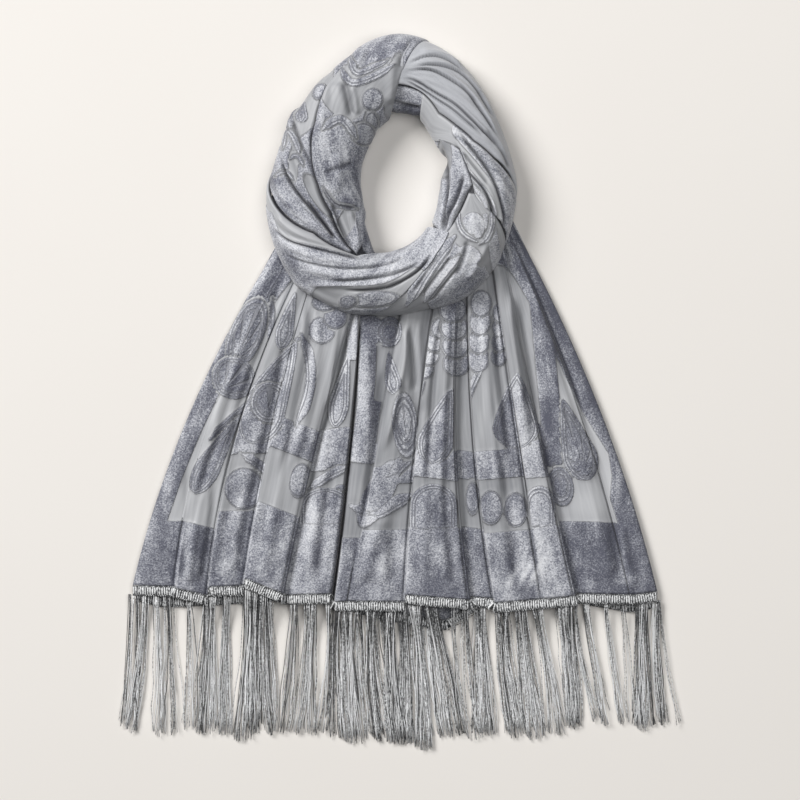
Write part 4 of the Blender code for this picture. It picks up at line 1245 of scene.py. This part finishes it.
inner_right = loop_turn(
    "inner_right_folds_cloth", (-49, -49), (66, 66), ((-50, -0.2), (66, -0.2)), INNER_FOLDS_EDGE, 4.6,
    ("under", "under", "foot", "under"),
    (
        (((44, 250), (48, 221), (50, 202), (47, 180), (43, 158)), 1.8, -3.2),
        (((65, 220), (60, 195), (48, 175), (45, 158)), 1.8, -3.2),
        (((72, 204), (63, 184), (54, 164)), 1.7, -3.0),
        (((56, 226), (54, 200), (47, 172)), 2.6, 3.0),
        (((68, 212), (60, 190), (51, 170)), 2.2, 2.8),
        (((76, 196), (68, 180), (60, 164)), 2.4, 2.6),
        (((38, 276), (32, 268)), 2.0, -2.0),
        (((40, 262), (46, 246), (46, 232)), 2.4, 1.8),
    ),
    inner_right_pattern,
    (
        (56, 206, 6, 14, 0, -0.45), (50, 190, 4, 20, 0, -0.4), (42, 176, 5, 20, 0, 0.2),
        (60, 180, 5, 16, 20, 0.25), (36, 262, 8, 10, 0, 0.3),
    ),
    0.52,
)
dress(inner_right, "inner_right_folds", velvet_material)


# Back of the neck and inner left strip.
# Two short dark stretches of the layer underneath, at the top and at the lower left of the neck
# opening. They are velvet too, seen only in shadow, and their darkest patches are painted shade.

neck_back = loop_turn(
    "neck_back_turn_cloth", (60, 60), (108, 108), ((55, -0.2), (110, -0.2)), PLEATED_LOWER_EDGE, 3.0,
    ("under", "under", "foot", "under"),
    (
        (((-14, 284), (2, 276), (20, 276)), 1.8, -2.0),
        (((-10, 292), (6, 288), (24, 284)), 1.8, -2.2),
        (((-8, 288), (8, 282), (22, 280)), 2.2, 1.8),
    ),
    all_velvet,
    # Painted shade: a dark band across the stretch.
    ((6, 277, 30, 9, 0, -1.3), (4, 298, 24, 7, 0, 0.3)),
)
dress(neck_back, "neck_back_turn", velvet_material)

INNER_LEFT_OUTER = (
    (205, 0.08), (225, 0.2), (240, 0.3), (247.5, 0.25), (255, 0.09), (262.5, -0.06), (270, -0.15),
)
inner_left = loop_turn(
    "inner_left_strip_cloth", (206, 206), (264, 264), ((200, -0.2), (270, -0.2)), INNER_LEFT_OUTER, 3.0,
    ("under", "under", "foot", "under"),
    ((((-34, 178), (-28, 156), (-22, 138)), 1.8, -2.0), (((-38, 168), (-32, 150), (-27, 138)), 2.0, 1.6)),
    all_velvet,
    ((-30, 150, 14, 24, 0, -0.4),),
)
dress(inner_left, "inner_left_strip", velvet_material)


# Hidden layers of the neck loop.
# The wound cloth under the turns is one rounded form. Only slits of it can be seen between them, so
# it keeps its solid, and its velvet is painted dark as shade.

# Painted shade: the hidden velvet is coloured far darker than the velvet of the turns.
hidden = Finish("velvet in shadow", Roughness=0.9, Sheen_Weight=0.2, Specular_IOR_Level=0.2)
shade = hidden.noise(hidden.place(), 620.0, 2.0, 0.7).rise(0.3, 0.7)
hidden.use("Base Color", hidden.mix(shade, (0.06, 0.063, 0.08, 1.0), (0.14, 0.147, 0.175, 1.0)))
for material_slot in bpy.data.objects["loop_core"].material_slots:
    material_slot.material = hidden.material


# Braid along the front hem.
# A narrow braid sewn over the raw hem: close upright ribs of silver-grey yarn on a flat tape, with a
# beaded edge above and below. It follows the steps of the pleats.

BRAID_HEIGHT = 10.0
RIB_PITCH = 2.4
RIB_SIZE = (0.86, 4.4, 0.85)
RIB_BLUNTNESS = 0.6
BEAD_SIZE = (0.75, 0.8, 0.8)
TAPE_THICKNESS = 0.9
SEAM_GAP = 0.3
STEEPEST = 0.7


def template(size, rings, segments):
    """The points and faces of one small rounded stitch, modelled once and then copied."""
    bpy.ops.object.select_all(action="DESELECT")
    bpy.ops.mesh.primitive_uv_sphere_add(segments=segments, ring_count=rings, radius=1.0)
    stitch = bpy.context.object
    points = np.array([vertex.co[:] for vertex in stitch.data.vertices])
    if size[1] > 2.0 * size[0]:
        points[:, 1] = np.sign(points[:, 1]) * np.abs(points[:, 1]) ** RIB_BLUNTNESS
    points *= size
    faces = [tuple(face.vertices) for face in stitch.data.polygons]
    bpy.data.objects.remove(stitch, do_unlink=True)
    return points, faces


def braid_line(hem, spacing):
    """Stations along a hem at an even spacing, with the direction of the hem at each."""
    steps = np.linalg.norm(np.diff(hem, axis=0), axis=1)
    walked = np.concatenate([[0.0], np.cumsum(steps)])
    places = np.arange(spacing / 2.0, walked[-1], spacing)
    points = np.stack([np.interp(places, walked, hem[:, axis]) for axis in range(3)], axis=-1)
    slope = np.gradient(points, axis=0)
    return points, np.arctan2(slope[:, 1], slope[:, 0])


def tube_faces(sides, count):
    """The faces of a closed tube whose corner lines, each of a count of points, follow one another."""
    faces = []
    for place in range(count - 1):
        for side in range(sides):
            here = side * count + place
            there = (side + 1) % sides * count + place
            faces.append((here, here + 1, there + 1, there))
    faces.append(tuple(side * count for side in range(sides)))
    faces.append(tuple(side * count + count - 1 for side in reversed(range(sides))))
    return faces


def joined(name, parts, tones):
    """One mesh from many small parts, each a pair of points and faces in mm, with their tones."""
    points, faces, start = [], [], 0
    for part_points, part_faces in parts:
        points.append(part_points)
        faces.extend(tuple(start + corner for corner in face) for face in part_faces)
        start += len(part_points)
    mesh = bpy.data.meshes.new(name)
    mesh.from_pydata(np.vstack(points) * MM, [], faces)
    attribute = mesh.attributes.new("tone", "FLOAT", "POINT")
    attribute.data.foreach_set("value", np.concatenate(tones))
    mesh.shade_smooth()
    item = bpy.data.objects.new(name, mesh)
    bpy.context.scene.collection.objects.link(item)
    return item


def braid_parts(hem, draw):
    """Ribs, beads and tape of a braid that hangs from a hem line."""
    rib, rib_faces = template(RIB_SIZE, 7, 8)
    bead, bead_faces = template(BEAD_SIZE, 4, 6)
    points, turns = braid_line(hem, RIB_PITCH)
    parts, tones = [], []
    for point, turn in zip(points, turns):
        turn = max(-STEEPEST, min(STEEPEST, turn))
        for shape, faces, drop, lean in (
            (rib, rib_faces, BRAID_HEIGHT / 2.0, draw.uniform(-0.06, 0.1)),
            (bead, bead_faces, 0.6, 0.0),
            (bead, bead_faces, BRAID_HEIGHT - 0.4, 0.0),
        ):
            spin = turn + lean
            x = shape[:, 0] * math.cos(spin) - shape[:, 1] * math.sin(spin)
            y = shape[:, 0] * math.sin(spin) + shape[:, 1] * math.cos(spin)
            shift = RIB_PITCH / 2.0 if shape is bead else 0.0
            place = point + np.array([shift + drop * math.sin(turn), -SEAM_GAP - drop * math.cos(turn), 0.2])
            parts.append((np.stack([x, y, shape[:, 2]], axis=-1) + place, faces))
            level = draw.uniform(0.7, 1.0) if shape is rib else draw.uniform(0.2, 0.5)
            tones.append(np.full(len(shape), level))
    top = hem - [0.0, SEAM_GAP, 0.0]
    low = top - [0.0, BRAID_HEIGHT, 0.0]
    under = [0.0, 0.0, TAPE_THICKNESS]
    tape = np.concatenate([top - under, low - under, low, top])
    parts.append((tape, tube_faces(4, len(hem))))
    tones.append(np.full(len(tape), 0.15))
    return parts, tones


def yarn_finish(name):
    """Silver-grey twisted rayon: a soft sheen, with light and dark strands side by side."""
    finish = Finish(name, Sheen_Weight=0.2, Specular_IOR_Level=0.5, Roughness=0.5, Anisotropic=0.3)
    tone = finish.attribute("tone") + (finish.noise(finish.place(), 480.0, 3.0, 0.75) - 0.5) * 4.4
    shade = finish.mix(tone.rise(0.12, 0.62), (0.035, 0.037, 0.041, 1.0), (0.42, 0.433, 0.446, 1.0))
    finish.use("Base Color", finish.mix(tone.rise(0.5, 1.2), shade, (0.84, 0.855, 0.87, 1.0)))
    return finish.material


yarn_material = yarn_finish("silver grey yarn")
front_hem = front[-1] - [0.0, 0.0, 0.4]
front_braid = joined("front_braid", *braid_parts(front_hem, random.Random(3)))
dress(front_braid, "braid_fringe_front", yarn_material)


# Fringe of the front end.
# Cut threads drawn out of the braid's lower edge. They lie on the surface in loose locks, some full
# and some thin, that cross a little and flare outwards.

FRONT_LOCKS = (
    # root from and to, end from and to, end Y, threads
    (-270, -264, -279, -270, -331, 13), (-263, -258, -266, -258, -336, 9),
    (-256, -249, -272, -261, -337, 20), (-245, -240, -248, -236, -341, 16),
    (-236, -225, -236, -212, -339, 15), (-212, -206, -218, -202, -335, 11),
    (-195, -182, -204, -182, -339, 36), (-175, -167, -181, -163, -340, 24),
    (-156, -146, -166, -148, -346, 26), (-150, -132, -152, -134, -332, 30),
    (-140, -124, -133, -121, -339, 22), (-108, -100, -119, -107, -339, 18),
    (-94, -86, -107, -91, -339, 20), (-87, -81, -92, -79, -340, 14),
    (-73, -68, -84, -73, -338, 13), (-66, -58, -68, -54, -346, 20),
    (-57, -40, -56, -30, -348, 36), (-33, -20, -29, -2, -346, 34),
    (-16, -2, -12, 8, -349, 32), (-2, 10, -3, 17, -348, 28),
    (9, 24, 15, 36, -354, 40), (24, 41, 39, 67, -342, 38),
    (52, 59, 61, 71, -338, 8), (63, 70, 68, 84, -344, 18),
    (76, 88, 76, 100, -341, 34), (96, 110, 107, 126, -342, 34),
    (116, 128, 124, 146, -344, 34), (133, 144, 150, 168, -339, 28),
    (156, 173, 168, 181, -333, 34), (172, 179, 183, 200, -328, 12),
    (183, 191, 202, 211, -330, 16), (204, 209, 215, 226, -328, 14),
    (222, 227, 226, 236, -330, 6), (235, 250, 233, 256, -335, 30),
    (254, 262, 258, 270, -330, 20), (260, 262, 274, 284, -329, 3),
)
THREAD_RADIUS = 0.44
THREAD_STEPS = 12
ROOT_DROP = BRAID_HEIGHT - 1.0


def thread(points, radius):
    """The three corner lines of one cut thread, which runs along points."""
    run = np.gradient(points, axis=0)
    run /= np.linalg.norm(run, axis=1)[:, None]
    side = np.stack([-run[:, 1], run[:, 0], np.zeros(len(run))], axis=-1)
    side /= np.maximum(np.linalg.norm(side, axis=1)[:, None], 1e-6)
    above = np.cross(run, side)
    corners = [
        points + radius * (math.cos(turn) * side + math.sin(turn) * above)
        for turn in (math.pi / 2.0, math.pi * 7.0 / 6.0, math.pi * 11.0 / 6.0)
    ]
    return np.concatenate(corners)


def fringe_parts(locks, hem, draw, floor, pile_up, fullness):
    """The threads of a fringe, lock by lock: they lie between floor and pile_up above it."""
    parts, tones = [], []
    along = np.linspace(0.0, 1.0, THREAD_STEPS)
    faces = tube_faces(3, THREAD_STEPS)
    for root_from, root_to, end_from, end_to, end_y, count in locks:
        waist = draw.uniform(0.15, 0.4)
        sway = draw.uniform(-3.0, 3.0)
        lock_tone = draw.uniform(-0.2, 0.2)
        root_middle = (root_from + root_to) / 2.0
        for index in range(max(3, round(count * fullness))):
            root_x = draw.uniform(root_from, root_to)
            rank = (root_x - root_from) / max(root_to - root_from, 1.0)
            rank = min(1.0, max(0.0, rank + draw.gauss(0.0, 0.2)))
            end_x = end_from + (end_to - end_from) * rank + draw.gauss(0.0, 1.3)
            finish_y = end_y - 3.0 + abs(draw.gauss(0.0, 5.5)) + 4.0 * (2.0 * rank - 1.0) ** 2
            root_z = float(np.interp(root_x, hem[:, 0], hem[:, 2])) - 0.6
            root_y = float(np.interp(root_x, hem[:, 0], hem[:, 1])) - ROOT_DROP
            pinch = waist * np.sin(math.pi * np.minimum(along * 1.6, 1.0)) * (root_middle - root_x)
            bow = (sway + draw.gauss(0.0, 1.6)) * np.sin(math.pi * along)
            swing = draw.uniform(0.3, 1.4)
            wave = swing * np.sin(along * draw.uniform(8.0, 24.0) + draw.uniform(0.0, 6.0)) * along
            x = root_x + (end_x - root_x) * along ** 1.15 + pinch + bow + wave
            y = root_y + (finish_y - root_y) * along
            lift = draw.random()
            level = floor + lift ** 1.4 * pile_up
            z = level + (root_z - level) * np.clip(1.0 - along * 3.4, 0.0, 1.0) ** 1.6
            line = np.stack([x, y, z], axis=-1)
            parts.append((thread(line, THREAD_RADIUS * draw.uniform(0.8, 1.15)), faces))
            # Painted shade: threads lying lower in a lock are darker, and each thread is darker near its root
            # under the braid.
            strand_tone = 0.7 + 0.6 * lift + lock_tone + draw.gauss(0.0, 0.75)
            shaded = 0.8 * np.clip(1.0 - along * 2.2, 0.0, 1.0)
            tones.append(np.tile(strand_tone - shaded, 3))
    return parts, tones


parts, tones = fringe_parts(FRONT_LOCKS, front_hem, random.Random(11), 1.3, 2.7, 0.9)
front_fringe = joined("front_fringe", parts, tones)
dress(front_fringe, "braid_fringe_front", yarn_material)


# Braid and fringe of the back end.
# The same trimming on the end that lies underneath; its braid peeps out where the front hem is
# shorter, and its threads fill some of the gaps between the front locks.

BACK_LOCKS = (
    (-196, -184, -200, -186, -334, 16), (-174, -168, -178, -166, -338, 9),
    (-154, -134, -158, -136, -338, 26), (-136, -127, -130, -122, -334, 10),
    (-62, -46, -58, -36, -342, 20), (-44, -24, -34, -14, -344, 24),
    (-20, -4, -14, 8, -346, 24), (-2, 18, 4, 24, -348, 32),
    (18, 38, 30, 54, -342, 30), (76, 88, 80, 96, -338, 16),
    (98, 110, 108, 124, -338, 16), (116, 128, 126, 142, -338, 16),
    (156, 174, 168, 184, -330, 26), (236, 248, 236, 250, -332, 14),
)
back_hem = back[-1] - [0.0, 0.0, 0.5]
back_braid = joined("back_braid", *braid_parts(back_hem, random.Random(5)))
dress(back_braid, "braid_fringe_back", yarn_material)
parts, tones = fringe_parts(BACK_LOCKS, back_hem, random.Random(12), 0.6, 1.6, 1.0)
back_fringe = joined("back_fringe", parts, tones)
dress(back_fringe, "braid_fringe_back", yarn_material)


# Surface, light and camera.
# A plain warm white surface, a large soft light from the upper left, and a camera straight above.

bpy.ops.object.select_all(action="DESELECT")
bpy.ops.mesh.primitive_plane_add(size=8.0, location=(0.0, 0.0, -0.0004))
surface = bpy.context.object
surface.name = "surface"
paper = Finish("warm white surface", Roughness=0.9, Specular_IOR_Level=0.1)
grain = paper.noise(paper.place(), 6.0, 2.0)
paper.use("Base Color", paper.mix(grain, (0.79, 0.765, 0.735, 1.0), (0.80, 0.78, 0.75, 1.0)))
surface.data.materials.append(paper.material)


def soft_light(name, place, size, power, colour):
    """A round soft light that points at the middle of the surface."""
    lamp = bpy.data.lights.new(name, "AREA")
    lamp.shape = "DISK"
    lamp.size = size
    lamp.energy = power
    lamp.color = colour
    item = bpy.data.objects.new(name, lamp)
    item.location = place
    tilt = math.atan2(math.hypot(place[0], place[1]), place[2])
    item.rotation_euler = (tilt, 0.0, math.atan2(place[0], -place[1]))
    bpy.context.scene.collection.objects.link(item)


soft_light("window from the upper left", (-3.6, 3.2, 3.6), 3.2, 425.0, (1.0, 0.985, 0.967))
soft_light("ceiling", (0.8, 0.4, 3.4), 3.0, 60.0, (1.0, 0.99, 0.98))

CAMERA_HEIGHT = 6.0
PICTURE_WIDTH = 0.8
PICTURE_MIDDLE = (0.0015, -0.0065)
eye = bpy.data.cameras.new("straight above")
eye.lens = eye.sensor_width * CAMERA_HEIGHT / PICTURE_WIDTH
camera = bpy.data.objects.new("straight above", eye)
camera.location = (PICTURE_MIDDLE[0], PICTURE_MIDDLE[1], CAMERA_HEIGHT)
bpy.context.scene.collection.objects.link(camera)
bpy.context.scene.camera = camera
bpy.context.scene.view_settings.view_transform = "Standard"
